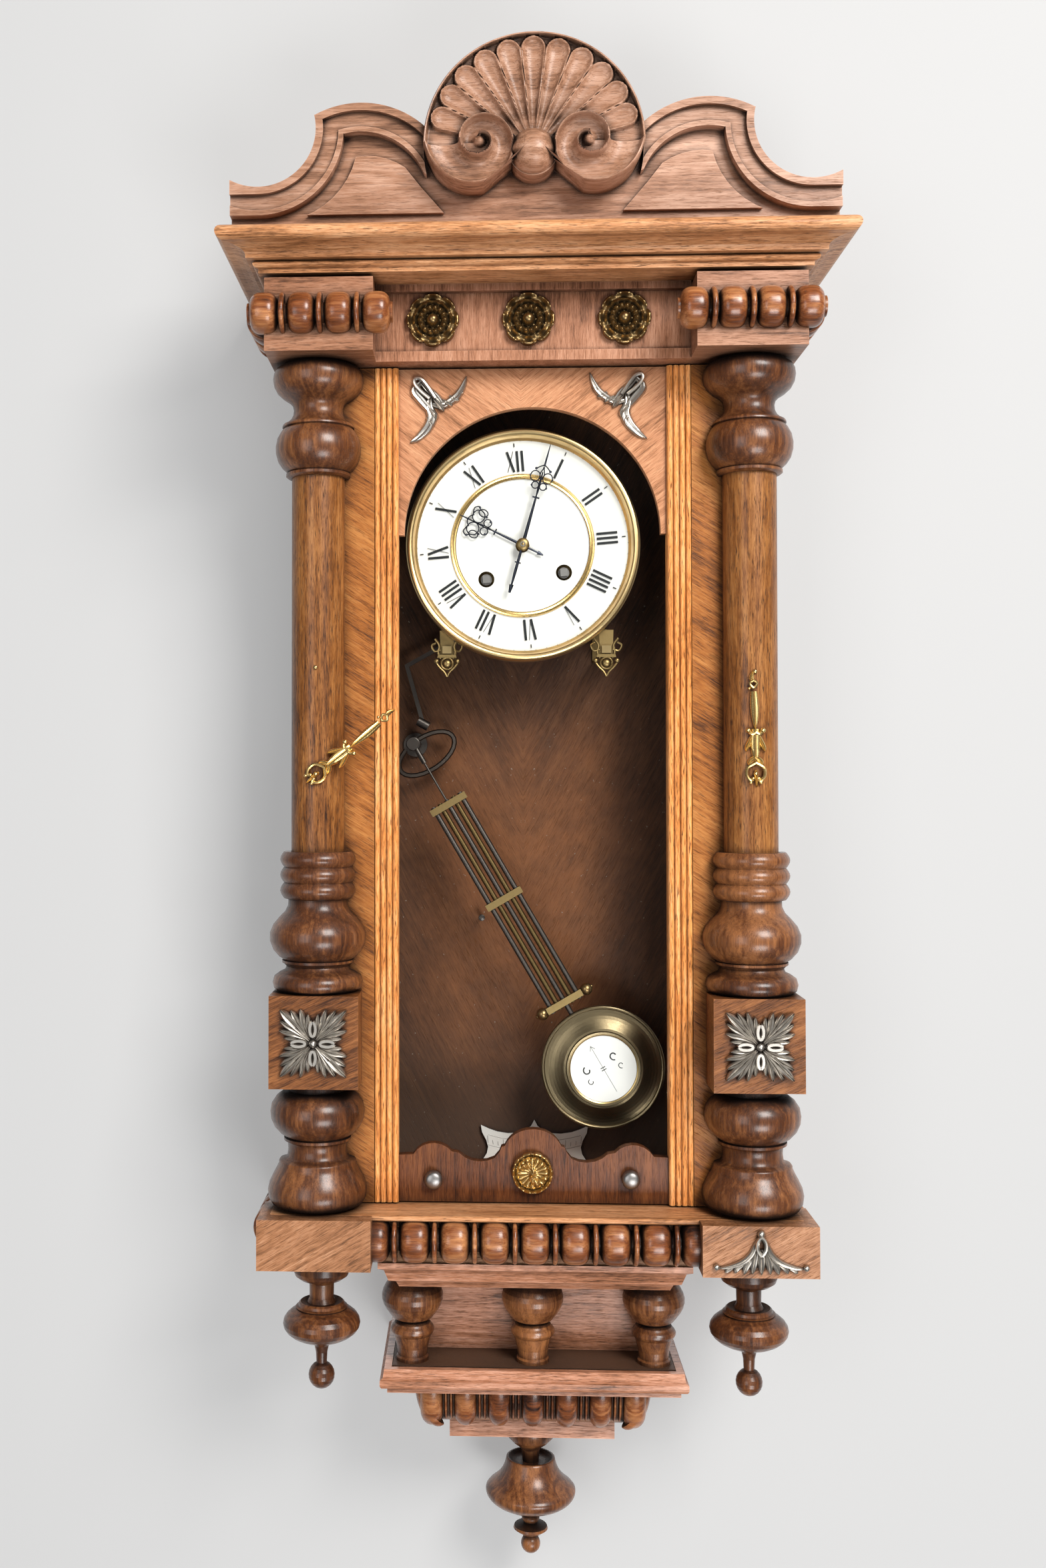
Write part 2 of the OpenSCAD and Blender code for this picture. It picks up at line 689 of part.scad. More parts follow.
module door_frame() {
    stile = case_half - pane_half - strip_w;
    color(veneer) {
        both() translate([case_half - stile, door_front, door_low]) cube([stile, door_t, door_h]);
        for (z = [door_low, door_top - rail_h]) translate([-case_half + stile - eps, board_back, z])
            cube([2 * (case_half - stile) + 2 * eps, door_back - board_back, rail_h]);
    }
}
module light_strips() {
    reed = strip_w / 4;
    strip_front = door_front + 1.5;
    color(oak) both() {
        translate([pane_half, strip_front, door_low]) cube([strip_w, board_back - strip_front, door_h]);
        for (i = [0:3]) translate([pane_half + reed * (i + 0.5), strip_front, door_low])
            cylinder(r = reed * 0.46, h = door_h, $fn = 24);
    }
}
module arch_board() {
    color(veneer) upright(board_back, board_t) difference() {
        translate([-pane_half, arch_z]) square([2 * pane_half, door_top - arch_z]);
        translate([0, arch_z]) circle(r = arch_r, $fn = 120);
    }
}
function apron_half_line() = concat(
    [[-pane_half, apron_h]],
    arc([-pane_half + 24.5, apron_h - 7.5], [16.5, 16], 150, 40, 7),
    arc([-37, apron_h + 14], [20, 18], 222, 300, 5),
    [[-23.5, apron_h + 2.5], [-22, apron_h + 6.3]],
    arc([0, apron_h + 0.8], [21, 18], 160, 90, 6));
module apron_board() {
    left = apron_half_line();
    color(veneer) translate([0, 0, door_low]) upright(board_back, board_t)
        polygon(concat([[-pane_half, 0]], left, mirrored(left), [[pane_half, 0]]));
}
module door_glass() {
    color(pane) translate([-pane_half, board_back, door_low + rail_h])
        cube([2 * pane_half, glass_t, door_h - 2 * rail_h]);
}
module on_columns() {
    both() difference() {
        translate([column_x, column_y, 0]) children();
        translate([column_x - 60, door_front, door_low - 10]) cube([120, 60, door_h + 20]);
    }
}
shaft_top = door_top - 79;
shaft_low = door_low + 245;
module column_capitals() {
    top = door_top;
    line = concat([[21.4, shaft_top], [22, shaft_top + 3]], bulge(shaft_top + 3.4, shaft_top + 31, 22.5, 30),
                  [[21.4, shaft_top + 31.6], [21.4, shaft_top + 33.4], [19.4, shaft_top + 34],
                   [19.4, shaft_top + 36], [17.6, shaft_top + 37.4], [17.4, shaft_top + 44],
                   [18.4, top - 29], [24.1, top - 28], [24.1, top - 26]],
                  [for (i = [0:7]) let (a = -50 + 115 * i / 7) [18 + 13.4 * cos(a), top - 9 + 9.9 * sin(a)]],
                  [[19, top]]);
    color(walnut) on_columns() turned(line);
}
module column_shafts() {
    color(veneer) on_columns() translate([0, 0, shaft_low])
        cylinder(r = shaft_r, h = shaft_top - shaft_low, $fn = fine);
}
module column_bases() {
    low = door_low;
    block_low = low + foot_h;
    block_top = block_low + block_h;
    rings = [for (i = [0:2]) for (p = bulge(shaft_low - 32.4 + i * 10.8, shaft_low - 21.6 + i * 10.8,
                                           23.6, 26.3, 6)) p];
    vase = concat(bulge(block_top, block_top + 12.5, 29.4, 31.4, 5),
                  [[22, block_top + 13.5], [21.8, block_top + 18], [24.4, block_top + 18.8],
                   [24.4, block_top + 20.5]],
                  bulge(block_top + 20.5, block_top + 54.5, 24, 33.6, 9),
                  [[20.6, block_top + 57], [20.4, shaft_low - 34]], rings, [[shaft_r, shaft_low]]);
    foot = concat([[27, low]],
                  [for (a = [-50:18.5:79.5]) [19 + 15.2 * cos(a), low + 9 + 11 * sin(a)]],
                  [[27, low + 26], [30, low + 27], [30, low + 29.5], [20.7, low + 31],
                   [20.7, low + 43], [24.4, low + 45]], bulge(low + 46.5, low + 77, 25, 32.5, 8),
                  [[20, low + 78.5], [20, block_low]]);
    color(walnut) on_columns() {
        turned(vase);
        translate([-block_w / 2, -block_w / 2, block_low]) cube([block_w, block_w, block_h]);
        turned(foot);
    }
}
leaf_l = 52;
module acanthus_mounts() {
    color(silver) both() translate([column_x, column_y - block_w / 2, door_low + foot_h + block_h / 2])
        rotate([90, 0, 0]) {
            linear_extrude(2.2) for (a = [0:90:270]) rotate(a + 45) {
                translate([leaf_l * 0.3, 0]) circle(r = leaf_l * 0.2, $fn = 32);
                translate([leaf_l * 0.46, 0]) circle(r = leaf_l * 0.12, $fn = 24);
                translate([leaf_l * 0.28, leaf_l * 0.19]) circle(r = leaf_l * 0.09, $fn = 24);
                translate([leaf_l * 0.28, -leaf_l * 0.19]) circle(r = leaf_l * 0.09, $fn = 24);
            }
            for (a = [0:90:270]) rotate([0, 0, a + 45]) translate([0, -1.4, 0])
                cube([leaf_l * 0.5, 2.8, 3.8]);
            cylinder(r = 5.4, h = 4.4, $fn = 32);
            translate([0, 0, 3]) sphere(r = 3.4, $fn = 32);
        }
}
module corner_mounts() {
    color(silver) both() translate([-pane_half + 32, board_front, door_top - 32])
        rotate([90, 0, 0]) {
            linear_extrude(3) {
                polygon(concat(arc([20, -24], [42, 42], 90, 180, 10), arc([20, -24], [34, 34], 175, 95, 9)));
                polygon(concat(arc([-22, 22], [9, 9], 45, 225, 8), [[-8, -6], [4, 6]]));
            }
            translate([-14, 14, 0]) rotate([0, 0, -45]) translate([-2, -13, 0]) cube([4, 20, 4.6]);
        }
}
// The pressed brass mount of a column, standing on its lower nail at the origin.
module column_mount() {
    length = 77;
    color(brass) rotate([90, 0, 0]) {
        linear_extrude(1.8) {
            difference() {
                circle(r = 5, $fn = 32);
                circle(r = 1.6, $fn = 24);
            }
            polygon([[-2, 4], [2, 4], [6.8, 15], [7, 26], [3, 31], [7, 35], [3, 39], [3.6, 52], [2.2, 62],
                     [1.6, length - 7], [-1.6, length - 7], [-2.2, 62], [-3.6, 52], [-3, 39], [-7, 35],
                     [-3, 31], [-7, 26], [-6.8, 15]]);
            difference() {
                translate([0, length - 4]) circle(r = 3.6, $fn = 24);
                translate([0, length - 4]) circle(r = 1.6, $fn = 24);
            }
        }
        translate([-1.2, 8, 0]) cube([2.4, 58, 3]);
    }
}
mount_z = shaft_low + 53.5;
mount_front = column_y - shaft_r - 0.4;
nail_r = 1.55;
mount_swing = 52;
module mount_nail(h) {
    color(brass) rotate([90, 0, 0]) {
        translate([0, 0, -h]) cylinder(r = nail_r, h = h + 2, $fn = 24);
        translate([0, 0, 2]) cylinder(r = 2.6, h = 1, $fn = 24);
    }
}
module right_column_mount() {
    translate([column_x, mount_front, mount_z]) column_mount();
}
module left_column_mount() {
    translate([-column_x, mount_front, mount_z]) rotate([0, mount_swing, 0]) column_mount();
}
module brass_trim() {
    color(brass) {
        translate([0, board_front, door_low + 22]) rotate([90, 0, 0]) rosette(15.2, 8, 6);
        both() translate([-68.6, board_front, door_low + 17]) rotate([90, 0, 0])
            rotate_extrude($fn = 32) polygon(concat([[0, 0], [4, 0], [4, 4]],
                arc([0, 4], [6.6, 4.4], 0, 90, 6)));
    }
    translate([-column_x, mount_front, mount_z]) mount_nail(0.4);
    translate([column_x, mount_front, mount_z]) mount_nail(0.4);
    translate([column_x, mount_front, mount_z + 73]) mount_nail(0.4);
}
hinge_x = case_half + 3.6;
hinge_y = case_front - leaf_gap / 2;
hinge_inset = 102.5;
hinge_zs = [door_low + hinge_inset, door_top - hinge_inset];
knuckle_r = 3.2;
knuckle_h = 9;
leaf_t = leaf_gap / 2 - 0.1;
pin_r = 1.5;
module knuckles(picks, bore) {
    for (i = picks) translate([hinge_x, hinge_y, (i - 2.5) * knuckle_h + 0.15]) difference() {
        cylinder(r = knuckle_r, h = knuckle_h - 0.3, $fn = 40);
        translate([0, 0, -1]) cylinder(r = bore, h = knuckle_h + 2, $fn = 40);
    }
}
module hinge_case_half() {
    color(brass) for (z = hinge_zs) translate([0, 0, z]) {
        knuckles([0, 2, 4], pin_r);
        translate([hinge_x, hinge_y, -2.5 * knuckle_h - 1]) cylinder(r = pin_r, h = 5 * knuckle_h + 2, $fn = 40);
        for (i = [0, 2, 4]) translate([case_half - 14, case_front - leaf_t, (i - 2.5) * knuckle_h + 0.15])
            difference() {
                cube([14 + 3.6, leaf_t, knuckle_h - 0.3]);
                translate([14 + 3.6, leaf_t - leaf_gap / 2, -1]) cylinder(r = pin_r + 0.4, h = 20, $fn = 40);
            }
    }
}
module hinge_door_half() {
    color(brass) for (z = hinge_zs) translate([0, 0, z]) {
        knuckles([1, 3], pin_r + arbor_play);
        for (i = [1, 3]) translate([case_half - 14, door_back, (i - 2.5) * knuckle_h + 0.15])
            difference() {
                cube([14 + 3.6, leaf_t, knuckle_h - 0.3]);
                translate([14 + 3.6, leaf_gap / 2, -1]) cylinder(r = pin_r + 0.4, h = 20, $fn = 40);
            }
    }
}

// Movement, in its own tilted frame about the dial centre

module in_movement() {
    translate([dial_x, 0, dial_z]) rotate([0, -movement_tilt, 0]) children();
}
module plate_outline() {
    difference() {
        translate([-plate_w / 2, -plate_h / 2 - 8]) square([plate_w, plate_h]);
        circle(r = centre_r + arbor_play, $fn = 40);
        for (s = [-1, 1]) translate([s * arbor_x, -arbor_z]) circle(r = arbor_r + arbor_play, $fn = 40);
        translate(hammer_at) circle(r = hammer_r + arbor_play, $fn = 32);
    }
}
hammer_at = [-36, -50];
hammer_r = 1.5;
anchor_z = 30;
module front_plate() {
    color(brass) in_movement() {
        upright(front_plate_y + plate_t, plate_t) plate_outline();
        pin_y(motion_dist, 0, 1.5, front_plate_y - 7.2, front_plate_y + eps);
    }
}
module back_plate() {
    inset = 8;
    color(brass) in_movement() {
        upright(back_plate_y + plate_t, plate_t) plate_outline();
        for (x = [-1, 1]) for (z = [-1, 1])
            pin_y(x * (plate_w / 2 - inset), z * (plate_h / 2 - inset) - 8, 3,
                  front_plate_y + plate_t, back_plate_y);
        translate([-9, back_plate_y + plate_t - eps, anchor_z + 3]) cube([18, 12, 3]);
        for (s = [-1, 1]) translate([s * 4 - 2, back_plate_y + plate_t + 6, anchor_z - 1])
            cube([4, 4, 4 + eps]);
        for (s = [-1, 1]) pin_y(s * (plate_w / 2 - inset), 0, 4, back_plate_y + plate_t - eps, -back_t);
    }
}
bracket_x = 60;
bracket_w = 26;
bracket_low = dial_z - 94;
bracket_t = 2;
module movement_brackets() {
    t = bracket_t;
    wall_h = 34;
    seat_h = 51;
    screw_z = 12;
    color(brass) for (s = [-1, 1]) translate([dial_x + s * bracket_x - bracket_w / 2, 0, bracket_low]) {
        translate([0, -back_t - t, 0]) cube([bracket_w, t, wall_h]);
        translate([0, front_plate_y - t, 0]) cube([bracket_w, -back_t - front_plate_y + t, t]);
        translate([0, front_plate_y - t, 0]) cube([bracket_w, t, seat_h]);
        pin_y(bracket_w / 2, screw_z, 4, front_plate_y - t - 2, front_plate_y - t + eps);
    }
}
module spring_barrels() {
    color(brass) in_movement() for (s = [-1, 1]) difference() {
        union() {
            pin_y(s * arbor_x, -arbor_z, barrel_r, front_plate_y + plate_t + 2, back_plate_y - 6);
            pin_y(s * arbor_x, -arbor_z, barrel_r + 2, back_plate_y - 6, back_plate_y - 3.6);
            pin_y(s * arbor_x, -arbor_z, arbor_r + 3, front_plate_y + plate_t + 0.2, front_plate_y + plate_t + 3);
            pin_y(s * arbor_x, -arbor_z, arbor_r + 3, back_plate_y - 4, back_plate_y - 0.2);
        }
        pin_y(s * arbor_x, -arbor_z, arbor_r + arbor_play, front_plate_y, back_plate_y + 1);
    }
}
module winding_arbor(s) {
    color(steel) in_movement() translate([s * arbor_x, 0, -arbor_z]) {
        pin_y(0, 0, arbor_r, dial_back + 1, back_plate_y + plate_t + 2);
        translate([-arbor_r * 0.66, -dial_y - 1, -arbor_r * 0.66])
            cube([arbor_r * 1.32, 4, arbor_r * 1.32]);
    }
}
module time_arbor() { winding_arbor(1); }
module strike_arbor() { winding_arbor(-1); }
module dial() {
    color(enamel) in_movement() {
        upright(dial_back, 1.2) difference() {
            circle(r = bezel_r - 3, $fn = 120);
            circle(r = 5, $fn = 40);
            for (s = [-1, 1]) translate([s * arbor_x, -arbor_z]) circle(r = 5.8, $fn = 40);
        }
        for (a = [45:90:315]) pin_y(40 * cos(a), 40 * sin(a) - 8, 1.6, dial_back - eps, front_plate_y);
        upright(-dial_y + eps, 0.7) difference() {
            circle(r = 0.678 * dial_r, $fn = 96);
            circle(r = 0.628 * dial_r, $fn = 96);
        }
    }
}
module bezel() {
    rim = bezel_r - dial_r;
    color(brass) in_movement() translate([0, dial_back + 3, 0]) rotate([90, 0, 0])
        rotate_extrude($fn = 120) polygon(concat(
            [[bezel_r - 3, 0], [bezel_r, 0], [bezel_r, 8]],
            arc([bezel_r - rim * 0.36, 9], [rim * 0.36, 3.6], 0, 180, 8),
            [[bezel_r - rim * 0.8, 6.4], [dial_r, 4.4 + 0.3], [dial_r, 4.2], [bezel_r - 3, 4.2]]));
}

// Motion work: 12 and 36 teeth, then 10 and 40 teeth, one turn in twelve

function involute(base, a) =
    [base * (cos(a) + a * PI / 180 * sin(a)), base * (sin(a) - a * PI / 180 * cos(a))];
function flank(teeth, m, play) =
    let (pitch_r = teeth * m / 2, base = pitch_r * cos(25), tip_r = pitch_r + 0.8 * m,
         roll = sqrt(pow(pitch_r / base, 2) - 1) * 180 / PI,
         at_pitch = roll - atan(roll * PI / 180),
         half_tooth = 90 / teeth - play / pitch_r * 45 / PI,
         last = sqrt(pow(tip_r / base, 2) - 1) * 180 / PI)
    [for (i = [0:4]) let (p = involute(base, last * i / 4), r = norm(p), a = atan2(p[1], p[0]))
        [r, half_tooth + at_pitch - a]];
module gear(teeth, m, turn_by) {
    side = flank(teeth, m, tooth_play);
    root = teeth * m / 2 - 1.05 * m;
    points = [for (k = [0:teeth - 1]) for (q = concat(
        [[root, -side[0][1]]], [for (i = [0:4]) [side[i][0], -side[i][1]]],
        [for (i = [4:-1:0]) side[i]], [[root, side[0][1]]]))
            let (a = turn_by + k * 360 / teeth + q[1]) [q[0] * cos(a), q[0] * sin(a)]];
    polygon(points);
}
first_m = 2 * motion_dist / 48;
second_m = 2 * motion_dist / 50;
minute_turn = minutes_shown * 6;
hour_turn = hour_shown * 30 + minutes_shown / 2;
module centre_arbor() {
    color(steel) in_movement() {
        pin_y(0, 0, centre_r, -dial_y - 9.4, back_plate_y + plate_t + 2);
        upright(front_plate_y - 0.4, 2.4) gear(12, first_m, 0);
        pin_y(0, 0, 2.3, dial_back - 0.5, front_plate_y - 2);
        pin_y(0, 0, 10, front_plate_y + plate_t + 20, front_plate_y + plate_t + 21.4);
    }
}
module minute_wheel() {
    color(brass) in_movement() translate([motion_dist, 0, 0]) difference() {
        union() {
            upright(front_plate_y - 0.6, 2) gear(36, first_m, 5);
            upright(front_plate_y - 2.6 + eps, 3.6) gear(10, second_m, 0);
        }
        pin_y(0, 0, 1.5 + arbor_play, front_plate_y - 12, front_plate_y + 4);
    }
}
module hour_wheel() {
    color(brass) in_movement() difference() {
        union() {
            upright(front_plate_y - 3.8, 1.8) gear(40, second_m, 4.5);
            pin_y(0, 0, 4, -dial_y - 3.4, front_plate_y - 3.8);
        }
        pin_y(0, 0, 2.3 + arbor_play, -dial_y - 10, front_plate_y);
    }
}
// A pierced hand that points up from its hub at the origin: a tapering rod, a cross bar, pairs of
// rings given as [side, height, radius], and a needle point.
module hand(length, tail, w, rings, thick, y, hub, hole) {
    collar = rings[0][1] - rings[0][2];
    upright(y, thick) difference() {
        union() {
            circle(r = hub, $fn = 40);
            polygon([[-w, 0], [w, 0], [0.6 * w, collar], [-0.6 * w, collar]]);
            translate([-w * 1.8, collar - 5]) square([w * 3.6, 1.4]);
            polygon([[-0.6 * w, collar - 1], [0.6 * w, collar - 1], [0.6 * w, length - 14], [0, length],
                     [-0.6 * w, length - 14]]);
            for (ring = rings) for (s = [-1, 1]) translate([s * ring[0], ring[1]]) difference() {
                circle(r = ring[2] + 0.5, $fn = 32);
                circle(r = ring[2] - 0.5, $fn = 32);
            }
            translate([-w * 0.7, 4 - tail]) square([w * 1.4, tail - 4]);
            translate([0, 4 - tail]) circle(r = 3, $fn = 24);
        }
        circle(r = hole, $fn = 40);
    }
}
module hour_hand() {
    color(steel) in_movement() rotate([0, hour_turn, 0])
        hand(50.5, 16, 1.3, [[3, 29.5, 2.8], [4.8, 38, 4.6], [9.2, 37, 2.6]], 1, -dial_y - 2, 6.6, 4);
}
module minute_hand() {
    color(steel) in_movement() {
        rotate([0, minute_turn, 0])
            hand(75.5, 37, 1.4, [[2.9, 43.6, 2.6], [4.4, 50.4, 3.7]], 1, -dial_y - 6, 5.6, centre_r);
        difference() {
            pin_y(0, 0, 3.6, -dial_y - 8.8, -dial_y - 7 + eps);
            pin_y(0, 0, centre_r, -dial_y - 10, -dial_y);
        }
    }
}

// Pendulum, suspension, gong and hammer

hook_bore = gong_pin_r + 0.35;
module in_pendulum() {
    translate([gong_x, -pendulum_y, gong_z]) rotate([0, -pendulum_lean, 0]) children();
}
bar_drops = [51.5, 132, pendulum_l - 55];
module gridiron_bars() {
    color(brass) in_pendulum() {
        for (d = bar_drops) difference() {
            translate([-14.7, -3.6, -d - 3.5]) cube([29.4, 7.2, 7]);
            for (i = [-2:2]) translate([i * rod_pitch, 0, -d - 10]) cylinder(r = rod_r, h = 20, $fn = 24);
        }
        for (s = [-1, 1]) translate([s * 14, 0, -bar_drops[2]]) rotate([0, s * 90, 0])
            rotate_extrude($fn = 32) polygon(concat([[0, 0], [2.4, 0], [2.4, 2.4]],
                arc([0, 6.6], [5, 5], -55, 90, 8)));
    }
}
module gridiron_rods() {
    low = pendulum_l - bob_r + 3;
    color(steel) in_pendulum() {
        for (i = [-2:2]) if (i != 0) translate([i * rod_pitch, 0, -bar_drops[2] - 3.5])
            cylinder(r = rod_r, h = bar_drops[2] - bar_drops[0] + 7, $fn = 24);
        translate([0, 0, -low]) cylinder(r = rod_r, h = low - bar_drops[0] + 3.5, $fn = 24);
        translate([0, 0, -bar_drops[0]]) cylinder(r = stem_r, h = bar_drops[0] - 14, $fn = 24);
        difference() {
            translate([-2.2, -1.1, -16.5]) cube([4.4, 2.2, 13]);
            translate([0, 3, 0]) rotate([90, 0, 0]) cylinder(r = hook_bore, h = 6, $fn = 40);
        }
        translate([0, 1.1, 0]) rotate([90, 0, 0]) difference() {
            cylinder(r = hook_bore + 2.2, h = 2.2, $fn = 40);
            translate([0, 0, -1]) cylinder(r = hook_bore, h = 5, $fn = 40);
        }
    }
}
bob_disc_r = 24.2;
bob_disc_t = 1.6;
bob_seat = bob_t / 2 - 2;
// Half outline of the bob's dished front, from the enamel disc's seat to the rolled rim.
function bob_front() = concat(
    [[bob_disc_r, bob_seat], [bob_disc_r + 0.6, bob_seat + 2.6], [bob_disc_r + 2.4, bob_seat + 3],
     [bob_disc_r + 3, bob_seat + 1.4], [bob_disc_r + 4.6, bob_seat + 1]],
    [for (i = [1:6]) let (t = i / 6)
        [bob_disc_r + 4.6 + (bob_r - bob_disc_r - 7.4) * t, bob_seat + 1 - (bob_seat - 1.6) * sin(90 * t)]],
    arc([bob_r - 1.4, 2.4], [1.4, 1.4], 150, 0, 6));
module pendulum_bob() {
    color(brass) in_pendulum() translate([0, 0, -pendulum_l]) rotate([90, 0, 0]) difference() {
        rotate_extrude($fn = 96) polygon(concat([[0, bob_seat]], bob_front(),
            [for (i = [6:-1:0]) let (t = i / 6) [bob_r * t, -bob_t / 2 + (bob_t / 2 - 1) * t * t]]));
        rotate([90, 0, 0]) translate([0, 0, -bob_r - 1]) cylinder(r = rod_r, h = 5, $fn = 24);
    }
}
module bob_disc() {
    color(enamel) in_pendulum() translate([0, -bob_seat, -pendulum_l]) rotate([90, 0, 0])
        cylinder(r = bob_disc_r - 0.2, h = bob_disc_t, $fn = 64);
}
module pendulum_leader() {
    at = movement_point(0, anchor_z);
    color(steel) translate([at[0], back_plate_y + plate_t + 8, at[1]]) {
        translate([-1.4, -2.5, -1.4]) cube([2.8, 5, 4]);
        pin_y(0, 0, 0.8, -3.4, 3.4);
        translate([-0.3, -2.5, -14]) cube([0.6, 5, 13]);
        translate([-1.8, -3, -20]) cube([3.6, 6, 7]);
        translate([0, 0, -98]) cylinder(r = 1.5, h = 79, $fn = 24);
        translate([-3, -1, -105]) cube([6, 2, 8]);
    }
}
// The gong is one turn of wire in an oval. It starts at a clamp on its post and runs clockwise.
gong_y = -32;
gong_lean = 33.5;
gong_middle = [gong_x + 9.1, gong_z - 6.9];
gong_from = 88;
gong_sweep = 328;
gong_steps = 24;
gong_sides = 6;
function gong_at(t) = gong_middle +
    [gong_long * cos(t) * cos(gong_lean) - gong_short * sin(t) * sin(gong_lean),
     gong_long * cos(t) * sin(gong_lean) + gong_short * sin(t) * cos(gong_lean)];
function gong_heading(t) = let (v = gong_at(t - 0.5) - gong_at(t + 0.5)) atan2(v[1], v[0]);
gong_points = [for (i = [0:gong_steps]) gong_at(gong_from - gong_sweep * i / gong_steps)];
gong_gaps = [for (i = [0:gong_steps / 2]) for (j = [i + gong_steps / 3:gong_steps])
    norm(gong_points[i] - gong_points[j]) - 2 * gong_wire_r];
echo(gong_least_gap = min(gong_gaps));
module gong_coil() {
    rings = [for (i = [0:gong_steps])
        let (p = gong_points[i], a = gong_heading(gong_from - gong_sweep * i / gong_steps) + 90)
        for (k = [0:gong_sides - 1]) let (b = 360 * k / gong_sides, r = gong_wire_r)
            [p[0] + r * cos(b) * cos(a), gong_y + r * sin(b), p[1] + r * cos(b) * sin(a)]];
    n = gong_sides;
    last = gong_steps * n;
    walls = [for (i = [0:gong_steps - 1]) for (k = [0:n - 1]) let (q = (k + 1) % n)
        for (f = [[i * n + k, (i + 1) * n + k, i * n + q], [i * n + q, (i + 1) * n + k, (i + 1) * n + q]]) f];
    ends = concat([for (k = [1:n - 2]) [0, k, k + 1]],
                  [for (k = [1:n - 2]) [last, last + k + 1, last + k]]);
    color(steel) polyhedron(points = rings, faces = concat(walls, ends));
}
module gong_post() {
    start = gong_points[0] - [gong_x, gong_z];
    heading = gong_heading(gong_from);
    along = start[0] * cos(heading) + start[1] * sin(heading);
    aside = start[1] * cos(heading) - start[0] * sin(heading);
    clamp_half = gong_wire_r + 0.6;
    color(steel) {
        pin_y(gong_x, gong_z, gong_pin_r + 1.5, gong_y - 4, -back_t);
        pin_y(gong_x, gong_z, 9, -back_t - 3, -back_t);
        pin_y(gong_x, gong_z, gong_pin_r, -pendulum_y - 5, gong_y);
        pin_y(gong_x, gong_z, gong_pin_r + 1.4, -pendulum_y - 6.5, -pendulum_y - 4);
        translate([gong_x, gong_y, gong_z]) rotate([0, -heading, 0])
            translate([0, -clamp_half, aside - clamp_half]) cube([along, 2 * clamp_half, 2 * clamp_half]);
    }
}
hammer_pivot = movement_point(hammer_at[0], hammer_at[1]);
hammer_elbow = [dial_x - bracket_x - bracket_w / 2 - 13, bracket_low + 11];
hammer_head = gong_at(70) + [-3, 6.4 + gong_wire_r];
hammer_w = 3;
module hammer_rod(from, to) {
    run = to - from;
    translate([from[0], gong_y, from[1]]) rotate([0, -atan2(run[1], run[0]), 0])
        translate([0, -1.2, -hammer_w / 2]) cube([norm(run), 2.4, hammer_w]);
}
module strike_hammer() {
    arm = hammer_head - hammer_pivot;
    color(steel) {
        pin_y(hammer_pivot[0], hammer_pivot[1], hammer_r, front_plate_y, gong_y + 4);
        hammer_rod(hammer_pivot, hammer_elbow);
        hammer_rod(hammer_elbow, hammer_head);
        pin_y(hammer_elbow[0], hammer_elbow[1], hammer_w / 2, gong_y - 1.2, gong_y + 1.2);
        translate([hammer_head[0], gong_y, hammer_head[1]]) rotate([0, -atan2(-arm[0], arm[1]), 0])
            rotate([0, 90, 0]) cylinder(r = 3.5, h = 9, center = true, $fn = 32);
    }
}
scale_half = 41.5;
scale_x = 4.6;
scale_low = 5.9;
// The plate has two pointed wings, a drawn-in waist and a point in the middle.
module beat_scale() {
    left = concat(
        [[-scale_half - 1, scale_low]],
        arc([-scale_half - 11, scale_low + 11.4], [17.6, 14], -45, 40, 6),
        [[-scale_half, scale_low + 21.4]],
        arc([-scale_half + 20, scale_low + 31], [21, 13], 215, 290, 5),
        arc([-15, scale_low + 33], [15, 15], 285, 350, 5));
    color(enamel) translate([scale_x, 0, door_low]) upright(-back_t, 3)
        polygon(concat(left, [[0, scale_low + 31]], mirrored(left)));
}

module set_down() {
    translate([0, 0, -hanger_z]) children();
}
set_down() backboard();
set_down() side_walls();
set_down() side_glass();
set_down() case_top();
set_down() frieze_board();
set_down() frieze_blocks();
set_down() frieze_beads();
set_down() frieze_rosettes();
set_down() cornice();
set_down() pediment_board();
set_down() pediment_mouldings();
set_down() shell_crest();
set_down() base_body();
set_down() base_blocks();
set_down() base_beads();
set_down() base_leaf_mount();
set_down() pendants();
set_down() bracket_board();
set_down() bracket_balusters();
set_down() bracket_shelf();
set_down() bracket_cove();
set_down() bottom_finial();
set_down() beat_scale();
set_down() hanger_plate();
set_down() gong_coil();
set_down() gong_post();
set_down() hinge_case_half();
set_down() movement_brackets();
set_down() front_plate();
set_down() back_plate();
set_down() spring_barrels();
set_down() dial();
set_down() bezel();
set_down() door_frame();
set_down() light_strips();
set_down() arch_board();
set_down() apron_board();
set_down() door_glass();
set_down() column_capitals();
set_down() column_shafts();
set_down() column_bases();
set_down() acanthus_mounts();
set_down() corner_mounts();
set_down() right_column_mount();
set_down() left_column_mount();
set_down() brass_trim();
set_down() hinge_door_half();
set_down() minute_hand();
set_down() centre_arbor();
set_down() minute_wheel();
set_down() hour_hand();
set_down() hour_wheel();
set_down() time_arbor();
set_down() strike_arbor();
set_down() gridiron_rods();
set_down() gridiron_bars();
set_down() pendulum_bob();
set_down() bob_disc();
set_down() pendulum_leader();
set_down() strike_hammer();
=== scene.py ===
# %% [markdown]
# This notebook dresses a wall regulator clock: a walnut case with half columns, a carved shell,
# turned pendants, a white dial and a gridiron pendulum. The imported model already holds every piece
# at its true size, so each cell below adds a finish or a finely shaped piece and moves nothing.

# %% The frame
import json
import math

